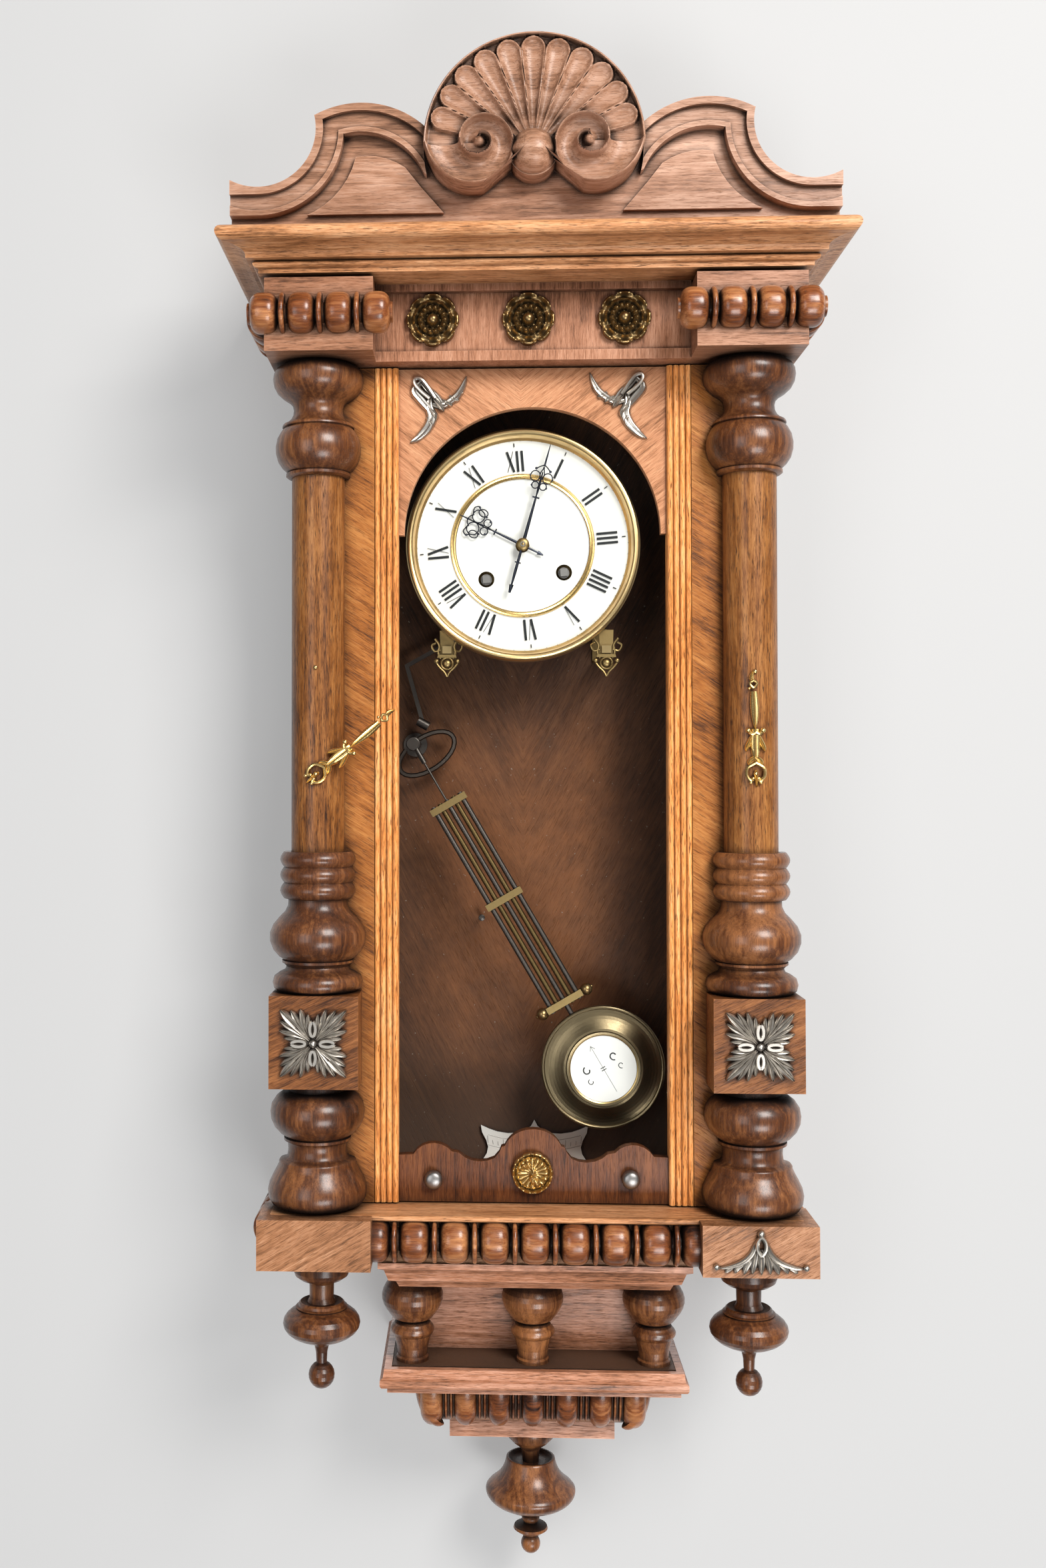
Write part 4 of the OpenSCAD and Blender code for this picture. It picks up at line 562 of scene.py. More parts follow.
def blade(path, width, lift, vein=0.35, ridges=9):
    """Rings of a leaf along a path: full in its middle, with a groove down its vein."""
    u = np.linspace(-1, 1, ridges)
    hump = np.sqrt(1 - u * u) * (1 - vein * np.exp(-(u / 0.3) ** 2))
    side = across(path)
    top = (path[:, None] + side[:, None] * (u * np.asarray(width)[:, None])[..., None]
           + OUT * (hump * np.asarray(lift)[:, None])[..., None])
    foot = np.stack([path + side * np.asarray(width)[:, None] - OUT * SUNK,
                     path - side * np.asarray(width)[:, None] - OUT * SUNK], 1)
    return np.concatenate([top, foot], 1)


def leaf(points, width, lift, vein=0.35, count=14, root=0.5):
    """A leaf that swells from its root and runs out to a point."""
    t = np.linspace(0, 1, count)
    swell = (root + (1 - root) * np.sin(math.pi * np.minimum(t * 1.6, 1) * 0.5)) * (1 - t ** 3) ** 0.8
    return blade(smooth_path(points, count), width * swell + 0.05, lift * (0.4 + 0.6 * swell), vein)


def ball(centre, radius, flat=1.0, rings=7, sides=12):
    """A bead: rings from its foot to its top."""
    tilt = np.linspace(-math.pi / 2 * 0.98, math.pi / 2 * 0.98, rings)
    angle = np.linspace(0, 2 * math.pi, sides, endpoint=False)
    r, h = np.cos(tilt) * radius, np.sin(tilt) * radius * flat
    ring = np.stack([np.cos(angle), np.sin(angle), 0 * angle], -1)
    return np.asarray(centre, float) + ring[None] * r[:, None, None] + OUT * h[:, None, None]


def post(line, sides=24):
    """A turned stud that stands out of the face, from (radius, height) pairs."""
    angle = np.linspace(0, 2 * math.pi, sides, endpoint=False)
    return np.array([[(r * math.cos(a), r * math.sin(a), h) for a in angle] for r, h in line])


def polar_relief(shape, edge, height, rings, sectors, put):
    """A closed carved disc. edge(angle) is its outline, height(x, y) its face, put() its place."""
    angle = np.linspace(0, 2 * math.pi, sectors, endpoint=False)
    share = np.linspace(0, 1, rings + 1)[1:]
    x = share[:, None] * (edge(angle) * np.cos(angle))[None]
    y = share[:, None] * (edge(angle) * np.sin(angle))[None]
    face = np.stack([x, y, height(x, y)], -1)
    foot = np.stack([x[-1:], y[-1:], np.full_like(x[-1:], -SUNK)], -1)
    grid = np.concatenate([face, foot]).reshape(-1, 3)
    middle = np.array([[0, 0, float(height(np.zeros(1), np.zeros(1))[0])], [0, 0, -SUNK]])
    n = sectors
    faces = [(i * n + j, i * n + (j + 1) % n, (i + 1) * n + (j + 1) % n, (i + 1) * n + j)
             for i in range(rings) for j in range(n)]
    top, under = len(grid), len(grid) + 1
    faces += [(top, (j + 1) % n, j) for j in range(n)]
    faces += [(under, rings * n + j, rings * n + (j + 1) % n) for j in range(n)]
    shape.add(put(np.concatenate([grid, middle])), faces)


def bell(value, width):
    return np.exp(-(value / width) ** 2)


# %% [markdown]
# The shell is the clock's showpiece. Its face is a height above each point of a disc, written as a
# sum of simple terms: eleven tongue-shaped flutes that fan out from the boss, each sunk inside a
# raised rim, a thin rim round the whole disc, and a ridge on each side that leaves this rim and
# winds in to a knob. A spiral's turn at a point is found from its angle, so no line is traced.

# %% Shell
shell_low, shell_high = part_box("shell_crest")
SHELL_R = (shell_high.x - shell_low.x) / 2 / MM
SHELL_PLACE = ((shell_low.x + shell_high.x) / 2, shell_high.y, shell_high.z - SHELL_R * MM)
SHELL_BODY = 17.0
BOSS_X, BOSS_Y, BOSS_R = -0.005 * SHELL_R, -0.075 * SHELL_R, 0.215 * SHELL_R
VOLUTE_X = 0.4865 * SHELL_R
FLUTES, FLUTE_FAN, FLUTE_HALF = 11, 13.9, 6.2
RIM = 1.1


def spiral_radius(turned):
    """How far the volute's ridge is from its eye, after an angle that grows from the rim inwards."""
    return SHELL_R / 166.5 * (82 * np.exp(-0.19 * turned) + 5 * np.sin(math.pi * turned / 11))


def shell_edge(angle):
    """The shell's outline: a circle above, and below it the volutes and the boss between them."""
    angle = np.asarray(angle) % (2 * math.pi)
    half = np.where(angle > math.pi, np.abs(angle - 1.5 * math.pi), math.pi / 2)
    turned = np.linspace(0, 2.6, 200)
    r = spiral_radius(turned) + RIM * 0.9
    x, y = -VOLUTE_X - r * np.cos(turned), -r * np.sin(turned)
    reach, lean = np.hypot(x, y), np.abs(np.arctan2(x, -y))
    keep = np.maximum.accumulate(lean[::-1])[::-1] <= lean + 1e-9
    order = np.argsort(lean[keep])
    volute = np.interp(half, lean[keep][order], reach[keep][order], left=0.0)
    a, b = BOSS_X * np.cos(angle) + BOSS_Y * np.sin(angle), BOSS_X ** 2 + BOSS_Y ** 2 - (BOSS_R * 1.02) ** 2
    boss = a + np.sqrt(np.maximum(a * a - b, 0))
    return np.where(angle <= math.pi, SHELL_R, np.maximum(volute, boss))


def shell_height(x, y):
    far = np.hypot(x, y) / SHELL_R
    d, phi = np.hypot(x - BOSS_X, y - BOSS_Y), np.degrees(np.arctan2(y - BOSS_Y, x - BOSS_X))
    height = SHELL_BODY + 2.0 * far ** 2
    flute = np.clip(np.round((phi - 90) / FLUTE_FAN), -(FLUTES // 2), FLUTES // 2)
    lean = np.radians(90 + flute * FLUTE_FAN)
    along = BOSS_X * np.cos(lean) + BOSS_Y * np.sin(lean)
    room = -along + np.sqrt(along ** 2 - BOSS_X ** 2 - BOSS_Y ** 2 + (0.955 * SHELL_R) ** 2)
    end = room - room * math.tan(math.radians(FLUTE_HALF))
    slant = (phi - 90 - flute * FLUTE_FAN) / FLUTE_HALF
    tip = np.maximum(d - end, 0) / (room * math.tan(math.radians(FLUTE_HALF)))
    s = np.hypot(slant, tip)
    fade = np.clip((d - BOSS_R * 0.9) / (BOSS_R * 0.8), 0.15, 1)
    sunk = np.where(s < 1, -2.6 * (1 - s ** 2.2), 0) - 3.2 * np.clip((s - 1.08) / 0.16, 0, 1)
    rim_width = np.clip(RIM / np.maximum(d * math.radians(FLUTE_HALF), 0.5), 0.08, 0.3)
    fan = fade * sunk + 0.8 * fade * bell(s - 1.02, rim_width)
    above = np.clip((y - BOSS_Y) / (0.06 * SHELL_R), 0, 1)
    height = height + fan * above * (far < 0.975) + 2.6 * bell(far - 0.987, 0.014)
    for side in (-1, 1):
        r = np.hypot(x - side * VOLUTE_X, y)
        turned = np.arctan2(-y, side * (x - side * VOLUTE_X)) % (2 * math.pi)
        first, second = spiral_radius(turned), spiral_radius(turned + 2 * math.pi)
        inside = r < first + RIM
        share = np.clip((r - second) / (first - second), 0, 1)
        outer_bowl = SHELL_BODY + 1.5 - 5.0 * np.sin(math.pi * share ** 0.75) + 3.0 * (1 - share)
        inner_bowl = SHELL_BODY + 1.0 + 2.0 * bell(r, 0.05 * SHELL_R)
        bowl = np.where(r > second, outer_bowl, inner_bowl)
        ridge = bell(r - first, RIM * 1.1) + bell(r - second, RIM) * (turned < 4.9)
        knob = np.sqrt(np.maximum((0.052 * SHELL_R) ** 2 - r ** 2, 0)) * 1.2
        volute = bowl + 6.5 * np.clip(ridge, 0, 1) + knob + 1.5
        height = np.where(inside, volute, height)
    boss = SHELL_BODY - 4 + np.sqrt(np.maximum(BOSS_R ** 2 - d ** 2, 0))
    return np.where(d < BOSS_R, np.maximum(boss, height * (d > 0.93 * BOSS_R)), height)


shell = Shape()
polar_relief(shell, shell_edge, shell_height, 110, 660, lambda p: on_face(p, SHELL_PLACE))
shell.piece("shell_carving", walnut_x, "case", "walnut", ["shell_crest"], sharp=60)

# %% [markdown]
# Three dark bronze rosettes sit on the frieze. The same polar relief makes them: eight curled
# lobes, a ring of small elongated beads and a ball, with fine noise for the worn casting.

# %% Frieze rosettes
ROSETTE_LOBES, ROSETTE_BEADS = 8, 14


def rosette_height(radius):
    def height(x, y):
        r, a = np.hypot(x, y) / radius, np.arctan2(y, x)
        lobe = 0.5 + 0.5 * np.cos(ROSETTE_LOBES * a)
        curl = 3.6 + 1.6 * bell(r - 0.93, 0.06) - 2.4 * bell(r - 0.8, 0.07) * lobe
        curl = curl + 1.4 * bell(r - 0.68, 0.05) - 1.6 * (1 - lobe) ** 3 * (r > 0.66)
        beads = 2.6 * bell(r - 0.47, 0.1) * (0.5 + 0.5 * np.cos(ROSETTE_BEADS * a)) ** 0.7
        rings = -2.2 * bell(r - 0.6, 0.05) - 2.6 * bell(r - 0.29, 0.045)
        knob = radius * 1.1 * np.sqrt(np.maximum(0.22 ** 2 - r ** 2, 0))
        return curl + beads + rings + knob
    return height


frieze_low, frieze_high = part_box("frieze_rosettes")
ROSETTE_R = (frieze_high.z - frieze_low.z) / 2 / MM
rosettes = Shape()
for centre in (frieze_low.x + ROSETTE_R * MM, (frieze_low.x + frieze_high.x) / 2,
               frieze_high.x - ROSETTE_R * MM):
    place = (centre, frieze_high.y, (frieze_low.z + frieze_high.z) / 2)
    polar_relief(rosettes, lambda a: ROSETTE_R * (0.87 + 0.13 * np.abs(np.cos(ROSETTE_LOBES * a / 2)) ** 0.6),
                 rosette_height(ROSETTE_R), 26, 112, lambda p: on_face(p, place))
rosettes.piece("rosette_castings", bronze, "case", "bronze", ["frieze_rosettes"])

# %% [markdown]
# The mounts on the column blocks are four acanthus leaves that meet at a ball. One corner leaf is
# drawn as seven blades, from its long middle one to the short ones beside the eyelets, and is
# turned four times. Each blade has a groove down its vein, which catches the light as cast metal
# does.

# %% Acanthus mounts
ACANTHUS_BLADES = [  # tip (right, up), half width, height, all as shares of the mount's half size
    ((0.98, 0.98), 0.17, 0.2), ((0.97, 0.66), 0.13, 0.17), ((0.66, 0.97), 0.13, 0.17),
    ((1.0, 0.38), 0.12, 0.15), ((0.38, 1.0), 0.12, 0.15), ((0.86, 0.15), 0.09, 0.1),
    ((0.15, 0.86), 0.09, 0.1)]


def acanthus(shape, half_w, half_h, put):
    size = np.array([half_w, half_h])
    for quarter in range(4):
        sx, sy = (1, -1)[quarter % 2], (1, -1)[quarter // 2]
        for (tx, ty), wide, tall in ACANTHUS_BLADES:
            tip = np.array([tx, ty])
            knee = 0.42 * tip + 0.16 * (tx + ty) / 2
            points = [(0.1, 0.1), tuple(knee), tuple(0.8 * tip + 0.02), tuple(tip)]
            points = [(sx * a * half_w, sy * b * half_h, 1.2 + 1.4 * math.sin(3 * max(a, b)))
                      for a, b in points]
            shape.loft(put(leaf(points, wide * half_w, tall * half_w, 0.5, root=0.35)))
    for right, up in ((1, 0), (-1, 0), (0, 1), (0, -1)):
        centre, way = np.array([right, up]) * size * 0.42, np.array([right, up]) * size * 0.2
        turn = np.array([-way[1], way[0]]) * 0.42
        oval = [(*(centre + way * math.cos(a) + turn * math.sin(a)), 3.6)
                for a in np.linspace(0, 2 * math.pi, 17)]
        shape.loft(put(cord(np.array(oval), 0.075 * half_w, 6)))
    plate = [(x * half_w, y * half_h) for x, y in ((-0.55, -0.55), (0.55, -0.55), (0.55, 0.55), (-0.55, 0.55))]
    shape.loft(put(np.array([[(x, y, h) for x, y in plate] for h in (-SUNK, 1.6)])))
    shape.loft(put(ball((0, 0, 3.4), 0.12 * half_w)))


mount_low, mount_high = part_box("acanthus_mounts")
COLUMN_X = 0.150
MOUNT_W = (mount_high.x - COLUMN_X) / MM
MOUNT_H = (mount_high.z - mount_low.z) / 2 / MM
acanthus_pair = Shape()
for side in (-1, 1):
    place = (side * COLUMN_X, mount_high.y, (mount_low.z + mount_high.z) / 2)
    acanthus(acanthus_pair, MOUNT_W, MOUNT_H, lambda p: on_face(p, place))
acanthus_pair.piece("acanthus_castings", silver, "door", "silver", ["acanthus_mounts"])

# %% [markdown]
# In the arch's upper corners lie two silvered sprays, and a third, like a small drapery, is on the
# right base block. They are laid out leaf by leaf on a few points each, taken from the photograph
# and given in millimetres from the spray's middle.

# %% Corner sprays and base spray
CORNER_LEAVES = [  # points (right, up), half width, height: an arm down, an arm up, then short leaves
    ([(-6, 5), (-6.5, -2), (-4.5, -9), (-8, -17), (-15, -24), (-20, -27)], 4.4, 2.8),
    ([(-4, 0), (2, -1), (8, 2), (14, 7), (18, 14), (20, 20)], 3.4, 2.6),
    ([(-12, 16), (-17, 10), (-12, 3), (-6, -4), (-2, -9)], 4.0, 3.0),
    ([(-13, 17), (-8, 11), (-2, 6), (2, 1), (5, -3)], 3.4, 2.8),
    ([(-3, 4), (2, -2), (4, -5)], 2.6, 3.8), ([(3, 3), (8, 0), (10, -1)], 2.2, 3.4),
    ([(8, 6), (12, 3), (15, 3)], 2.0, 2.8), ([(-6, -3), (-2, -8), (-2, -12)], 2.4, 3.6),
    ([(-8, -9), (-5, -14), (-6, -18)], 2.0, 3.0), ([(13, 10), (16, 8), (18, 9)], 1.5, 2.4)]
CORNER_EYE = [(-6, 4), (-12, 9), (-16.5, 14.5), (-16, 18), (-12, 17.5), (-8, 13), (-4, 7), (-2, 4)]
BASE_LEAVES = [
    ([(0, 13), (-4, 6), (-7, 0), (-13, -5), (-22, -8), (-29, -8.5)], 2.6, 2.6),
    ([(0, 13), (4, 6), (7, 0), (13, -5), (22, -8), (29, -8.5)], 2.6, 2.6),
    ([(0, 4), (0, -4), (0, -13)], 3.4, 3.6), ([(-3, 2), (-5, -6), (-6, -12.5)], 3.0, 3.0),
    ([(3, 2), (5, -6), (6, -12.5)], 3.0, 3.0), ([(-6, -2), (-10, -8), (-11.5, -12.5)], 2.8, 2.6),
    ([(6, -2), (10, -8), (11.5, -12.5)], 2.8, 2.6), ([(-11, -5), (-16, -9), (-17.5, -12)], 2.4, 2.2),
    ([(11, -5), (16, -9), (17.5, -12)], 2.4, 2.2), ([(-17, -7), (-22, -10), (-24, -11.5)], 1.8, 1.8),
    ([(17, -7), (22, -10), (24, -11.5)], 1.8, 1.8)]
BASE_EYE = [(0, 0), (-2.6, 4), (-2.6, 9), (0, 12), (2.6, 9), (2.6, 4), (0, 0)]


def spray(shape, leaves, eye, put):
    for points, width, lift in leaves:
        shape.loft(put(leaf([(x, y, 0.4) for x, y in points], width, lift, 0.45, 16, 0.45)))
    shape.loft(put(cord(smooth_path([(x, y, 3.0) for x, y in eye], 26), 1.3, 7)))


corner_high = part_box("corner_mounts")[1]
sprays = Shape()
for flip, (px, py) in ((1, (657, 607)), (-1, (927, 601))):
    seen = seen_at(px, py, corner_high.y)
    spray(sprays, CORNER_LEAVES, CORNER_EYE,
          lambda p: on_face(p, (seen.x, corner_high.y, seen.z), flip=flip))
sprays.piece("corner_sprays", silver, "door", "silver", ["corner_mounts"])

base_spray_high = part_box("base_leaf_mount")[1]
seen = seen_at(1141, 1882, base_spray_high.y)
base_spray = Shape()
put_base = lambda p: on_face(p, (seen.x, base_spray_high.y, seen.z))
spray(base_spray, BASE_LEAVES, BASE_EYE, put_base)
for x, y, r in ((0, 14, 2.6), (-29.5, -8, 2.2), (29.5, -8, 2.2)):
    base_spray.loft(put_base(ball((x, y, 1.2), r)))
base_spray.piece("base_spray", silver, "case", "silver", ["base_leaf_mount"])

# %% [markdown]
# A gilt ornament is nailed to each column. The right one stands upright. The left one has lost its
# upper nail and hangs turned on the lower one, so it is drawn once with that nail as its origin
# and set twice, and the left one rides on its own body.

# %% Column mounts
COLUMN_LEAVES = [
    ([(-1.3, 63), (-2.4, 66), (-1.3, 71)], 2.0, 1.8), ([(-0.9, 56.5), (-0.3, 44), (0, 30)], 3.4, 2.4),
    ([(0, 31), (0, 20), (0, 8)], 4.2, 2.8), ([(-0.5, 29), (-5.0, 20), (-6.6, 15.5)], 2.0, 2.4),
    ([(0.5, 29), (5.0, 20), (6.6, 15.5)], 2.0, 2.4), ([(0, 12), (-3.4, 9), (-4.6, 6)], 2.2, 2.2),
    ([(0, 12), (3.4, 9), (4.6, 6)], 2.2, 2.2), ([(0.2, 3), (0.5, -3), (0.8, -8.5)], 1.7, 2.4)]
COLUMN_CORDS = [
    ([(0, 28.5), (-2.5, 27.5), (-4.8, 29.6)], 1.2), ([(0, 28.5), (2.5, 27.5), (4.8, 29.6)], 1.2),
    ([(-1.3, 64), (-3.8, 62), (-1.3, 59), (1.2, 62), (-1.3, 64)], 0.9),
    ([(0, 8), (-5.4, 4.5), (-6.0, -0.5), (-3.2, -4.4), (-1.8, -2.4)], 1.15),
    ([(0, 8), (5.4, 4.5), (6.0, -0.5), (3.2, -4.4), (1.8, -2.4)], 1.15)]
COLUMN_BALLS = [(-5.0, 30, 1.9), (5.0, 30, 1.9), (-4.2, 58.5, 1.1), (-1.8, -2.6, 1.3), (1.8, -2.6, 1.3),
                (0, 0.6, 1.7), (-3.4, -5.6, 1.2), (3.4, -5.6, 1.2)]


def column_mount(name, body, place, turn, node):
    made = Shape()
    put = lambda p: on_face(p, place, turn)
    for points, width, lift in COLUMN_LEAVES:
        made.loft(put(leaf(points, width, lift, 0.5, 14, 0.7)))
    for points, radius in COLUMN_CORDS:
        made.loft(put(cord(smooth_path([(x, y, 1.3) for x, y in points], 18), radius, 7)))
    for x, y, radius in COLUMN_BALLS:
        made.loft(put(ball((x, y, 1.4), radius)))
    made.piece(name, gilt, body, "brass", [node])


SWUNG = math.radians(52)
swivel = next(joint for joint in frame["joints"] if joint["child"] == "loose_mount")
left_nail = Vector(swivel["pos_m"])
LOOSE_PLAY = 0.00045
loose_place = left_nail - Vector((0, LOOSE_PLAY, 0))
column_mount("left_mount_casting", "loose_mount", loose_place, -SWUNG, "left_column_mount")
column_mount("right_mount_casting", "door", (-left_nail.x, left_nail.y, left_nail.z), 0.0,
             "right_column_mount")

# %% [markdown]
# The apron carries a gilt rosette with a scalloped edge and two barrel studs. Nails hold the column
# mounts: two in the right one, one in the left one, and one left in the wood where it came off.

# %% Apron rosette, studs and nails
APRON_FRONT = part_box("apron_board")[0].y
apron_middle = seen_at(798, 1757, APRON_FRONT)
APRON_R = 14.5
STUD = [(5, -0.6), (5, 0.8), (5.6, 1.2), (6.3, 2.2), (6.3, 5.2), (5.6, 6.6), (4, 7.6), (1, 8)]
RIGHT_NAIL_UP, LEFT_NAIL_UP = 0.0700, 0.0738


def apron_height(x, y):
    r, a = np.hypot(x, y) / APRON_R, np.arctan2(y, x)
    leaves = 0.5 + 0.5 * np.cos(16 * a)
    height = 4.0 + 1.6 * bell(r - 0.93, 0.05) - 1.8 * bell(r - 0.8, 0.06)
    height = height + 1.6 * (r < 0.76) * leaves ** 0.7 * np.clip((r - 0.1) * 2, 0, 1)
    twist = np.sin(2 * a - 5.5 * r)
    return height + 2.2 * (r < 0.62) * bell(twist - 1, 0.5) + 2.6 * bell(r, 0.14)


apron_rosette = Shape()
polar_relief(apron_rosette, lambda a: APRON_R * (0.94 + 0.06 * np.abs(np.cos(5 * a)) ** 0.7),
             apron_height, 26, 128, lambda p: on_face(p, (apron_middle.x, APRON_FRONT, apron_middle.z)))
apron_rosette.piece("apron_rosette", rosette_gilt, "door", "brass", ["brass_trim"])

studs = Shape()
for px, py in ((650, 1767), (945, 1767)):
    stud = seen_at(px, py, APRON_FRONT)
    studs.loft(on_face(post(STUD, 32), (stud.x, APRON_FRONT, stud.z)))
studs.piece("apron_studs", steel, "door", "silver", ["brass_trim"])

nails = Shape()
for x, z in ((-left_nail.x, left_nail.z + RIGHT_NAIL_UP), (left_nail.x, left_nail.z + LEFT_NAIL_UP)):
    nails.loft(on_face(ball((0, 0, 0.2), 1.5, 0.6), (x, left_nail.y - 0.0004 * (x > 0), z)))
nails.piece("column_nails", brass, "door", "brass", ["brass_trim"])

# %% [markdown]
# The dial is white enamel with Roman numerals, each stroke a thin flat bar of black enamel: broad
# where a pen presses and a hairline where it lifts. The whole movement is tilted by a few degrees,
# and the dial's marks are tilted with it. A Geometry Nodes tree sets the sixty minute marks round a
# circle, because all of them are one bar, turned.

# %% Numerals
MOVEMENT_TILT = math.radians(4.8)
hub = Vector(next(j for j in frame["joints"] if j["child"] == "minute_hand")["pos_m"])
FACE_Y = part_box("dial")[0].y
DIAL_CENTRE = (hub.x, FACE_Y, hub.z)
black_enamel = Finish("black_enamel", Base_Color=(0.016, 0.018, 0.02), Roughness=0.3).material
NUMERAL_IN, NUMERAL_OUT = 53.5, 68.5
BROAD, HAIR, ENAMEL_T = 1.75, 0.32, 0.12
PITCH = 3.5
NUMERALS = ["XII", "I", "II", "III", "IIII", "V", "VI", "VII", "VIII", "IX", "X", "XI"]


def bar(start, end, width):
    """A flat stroke between two points of the dial."""
    a, b = np.array(start, float), np.array(end, float)
    side = np.array([-(b - a)[1], (b - a)[0]]) / np.linalg.norm(b - a) * width / 2
    ring = [a - side, a + side, b + side, b - side]
    return np.array([[(x, y, h) for x, y in ring] for h in (-0.1, ENAMEL_T)])


def strokes(numeral):
    """The bars of a numeral that stands on NUMERAL_IN, as (foot x, head x, width)."""
    wide = {"I": PITCH, "V": PITCH * 1.9, "X": PITCH * 1.9}
    total = sum(wide[letter] for letter in numeral)
    x = -total / 2
    for letter in numeral:
        w = wide[letter]
        if letter == "I":
            yield x + w / 2, x + w / 2, BROAD
        elif letter == "V":
            yield x + w * 0.55, x + w * 0.2, BROAD
            yield x + w * 0.6, x + w * 0.88, HAIR
        else:
            yield x + w * 0.82, x + w * 0.18, BROAD
            yield x + w * 0.14, x + w * 0.86, HAIR
        x += w


marks = Shape()
for hour, numeral in enumerate(NUMERALS):
    turn = MOVEMENT_TILT - math.radians(30 * hour)
    for foot, head, width in strokes(numeral):
        marks.loft(on_face(bar((foot, NUMERAL_IN), (head, NUMERAL_OUT), width), DIAL_CENTRE, turn))
    marks.loft(on_face(bar((0, 71.6), (0, 74.2), 0.7), DIAL_CENTRE, turn))
marks.piece("numerals", black_enamel, "case", "enamel")


# %% [markdown]
# Repeated pieces are made with Geometry Nodes. The helper builds a tree with named inputs and runs
# it on one seed mesh.

# %% Geometry Nodes helper
class Tree:
    """A Geometry Nodes tree with named inputs and one method that adds any node."""

    def __init__(self, name, **inputs):
        self.group = bpy.data.node_groups.new(name, "GeometryNodeTree")
        self.group.interface.new_socket("Geometry", in_out="INPUT", socket_type="NodeSocketGeometry")
        self.group.interface.new_socket("Geometry", in_out="OUTPUT", socket_type="NodeSocketGeometry")
        self.ids, self.values = {}, inputs
        kinds = {int: "NodeSocketInt", float: "NodeSocketFloat"}
        for label, value in inputs.items():
            kind = kinds.get(type(value), "NodeSocketMaterial")
            socket = self.group.interface.new_socket(label, in_out="INPUT", socket_type=kind)
            self.ids[label] = socket.identifier
        self.entry = self.group.nodes.new("NodeGroupInput")
        self.exit = self.group.nodes.new("NodeGroupOutput")

    def node(self, kind, settings, values, output=0):
        made = self.group.nodes.new(kind)
        for setting, value in settings.items():
            setattr(made, setting, value)
        for socket, value in values.items():
            if isinstance(value, bpy.types.NodeSocket):
                self.group.links.new(value, made.inputs[socket])
            else:
                made.inputs[socket].default_value = value
        return made.outputs[output]

    def run(self, seed_object, result, name, body, slot, replaces=()):
        """Runs the tree on an object, and leaves a plain mesh that rides on a body."""
        self.group.links.new(result, self.exit.inputs[0])
        modifier = seed_object.modifiers.new(name, "NODES")
        modifier.node_group = self.group
        for label, value in self.values.items():
            modifier[self.ids[label]] = value
        bpy.context.view_layer.update()
        shown = seed_object.evaluated_get(bpy.context.evaluated_depsgraph_get())
        mesh = bpy.data.meshes.new_from_object(shown)
        seed_object.modifiers.remove(modifier)
        bpy.data.objects.remove(seed_object)
        mesh.shade_smooth()
        mesh.set_sharp_from_angle(angle=math.radians(45))
        made = bpy.data.objects.new(name, mesh)
        bpy.context.scene.collection.objects.link(made)
        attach(made, body)
        if replaces:
            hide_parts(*replaces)
        print(name, len(mesh.polygons), "faces from a node tree")
        return made


def seed(name, points, faces):
    """A small object that a node tree starts from, in metres at the world's origin."""
    mesh = bpy.data.meshes.new(name)
    mesh.from_pydata([tuple(p) for p in points], [], faces)
    made = bpy.data.objects.new(name, mesh)
    bpy.context.scene.collection.objects.link(made)
    return made


# %% [markdown]
# One dash is carried round a circle to make the sixty minute marks. Each dash faces outward, and
# the ring is then stood upright and turned with the dial.

# %% Minute marks
tree = Tree("ring_of_marks", Count=60, Radius=0.0762, Material=black_enamel)
ring = tree.node("GeometryNodeMeshCircle", {"fill_type": "NONE"},
                 {"Vertices": tree.entry.outputs["Count"], "Radius": tree.entry.outputs["Radius"]})
place = tree.node("GeometryNodeInputPosition", {}, {})
facing = tree.node("FunctionNodeAlignRotationToVector", {"axis": "X"}, {"Vector": place})
spread = tree.node("GeometryNodeInstanceOnPoints", {},
                   {"Points": ring, "Instance": tree.entry.outputs["Geometry"], "Rotation": facing})
real = tree.node("GeometryNodeRealizeInstances", {}, {"Geometry": spread})
upright = tree.node("GeometryNodeTransform", {},
                    {"Geometry": real, "Rotation": (math.pi / 2, MOVEMENT_TILT, 0.0),
                     "Translation": (hub.x, FACE_Y - ENAMEL_T * MM, hub.z)})
painted = tree.node("GeometryNodeSetMaterial", {},
                    {"Geometry": upright, "Material": tree.entry.outputs["Material"]})
dash = bar((-0.8, 0), (0.8, 0), 0.18).reshape(-1, 3) * MM
tree.run(seed("minute_dash", dash, [(0, 1, 2, 3), (4, 5, 6, 7), (0, 1, 5, 4), (1, 2, 6, 5), (2, 3, 7, 6),
                                    (3, 0, 4, 7)]), painted, "minute_marks", "case", "enamel")

# %% [markdown]
# A gilt ring lies on the dial, inside the numerals. Its section is a small moulding that is turned
# about the centre.

# %% Gilt ring of the dial
RING_OUT, RING_W = 51.9, 3.9


def ring_section(inner, outer, heights, sides=120):
    """A closed ring: its section runs from the inner to the outer edge over the given heights."""
    radii = np.linspace(inner, outer, len(heights))
    section = [(inner, -SUNK)] + list(zip(radii, heights)) + [(outer, -SUNK)]
    angle = np.linspace(0, 2 * math.pi, sides, endpoint=False)
    points = np.array([[(r * math.cos(a), r * math.sin(a), h) for r, h in section] for a in angle])
    n, m = points.shape[:2]
    faces = [(i * m + j, i * m + (j + 1) % m, ((i + 1) % n) * m + (j + 1) % m, ((i + 1) % n) * m + j)
             for i in range(n) for j in range(m)]
    return points, faces


dial_ring = Shape()
points, faces = ring_section(RING_OUT - RING_W, RING_OUT, [0.3, 0.9, 0.75, 0.45, 0.8, 0.95, 0.3])
dial_ring.add(on_face(points, DIAL_CENTRE), faces)
dial_ring.piece("dial_ring", gilt, "case", "brass")

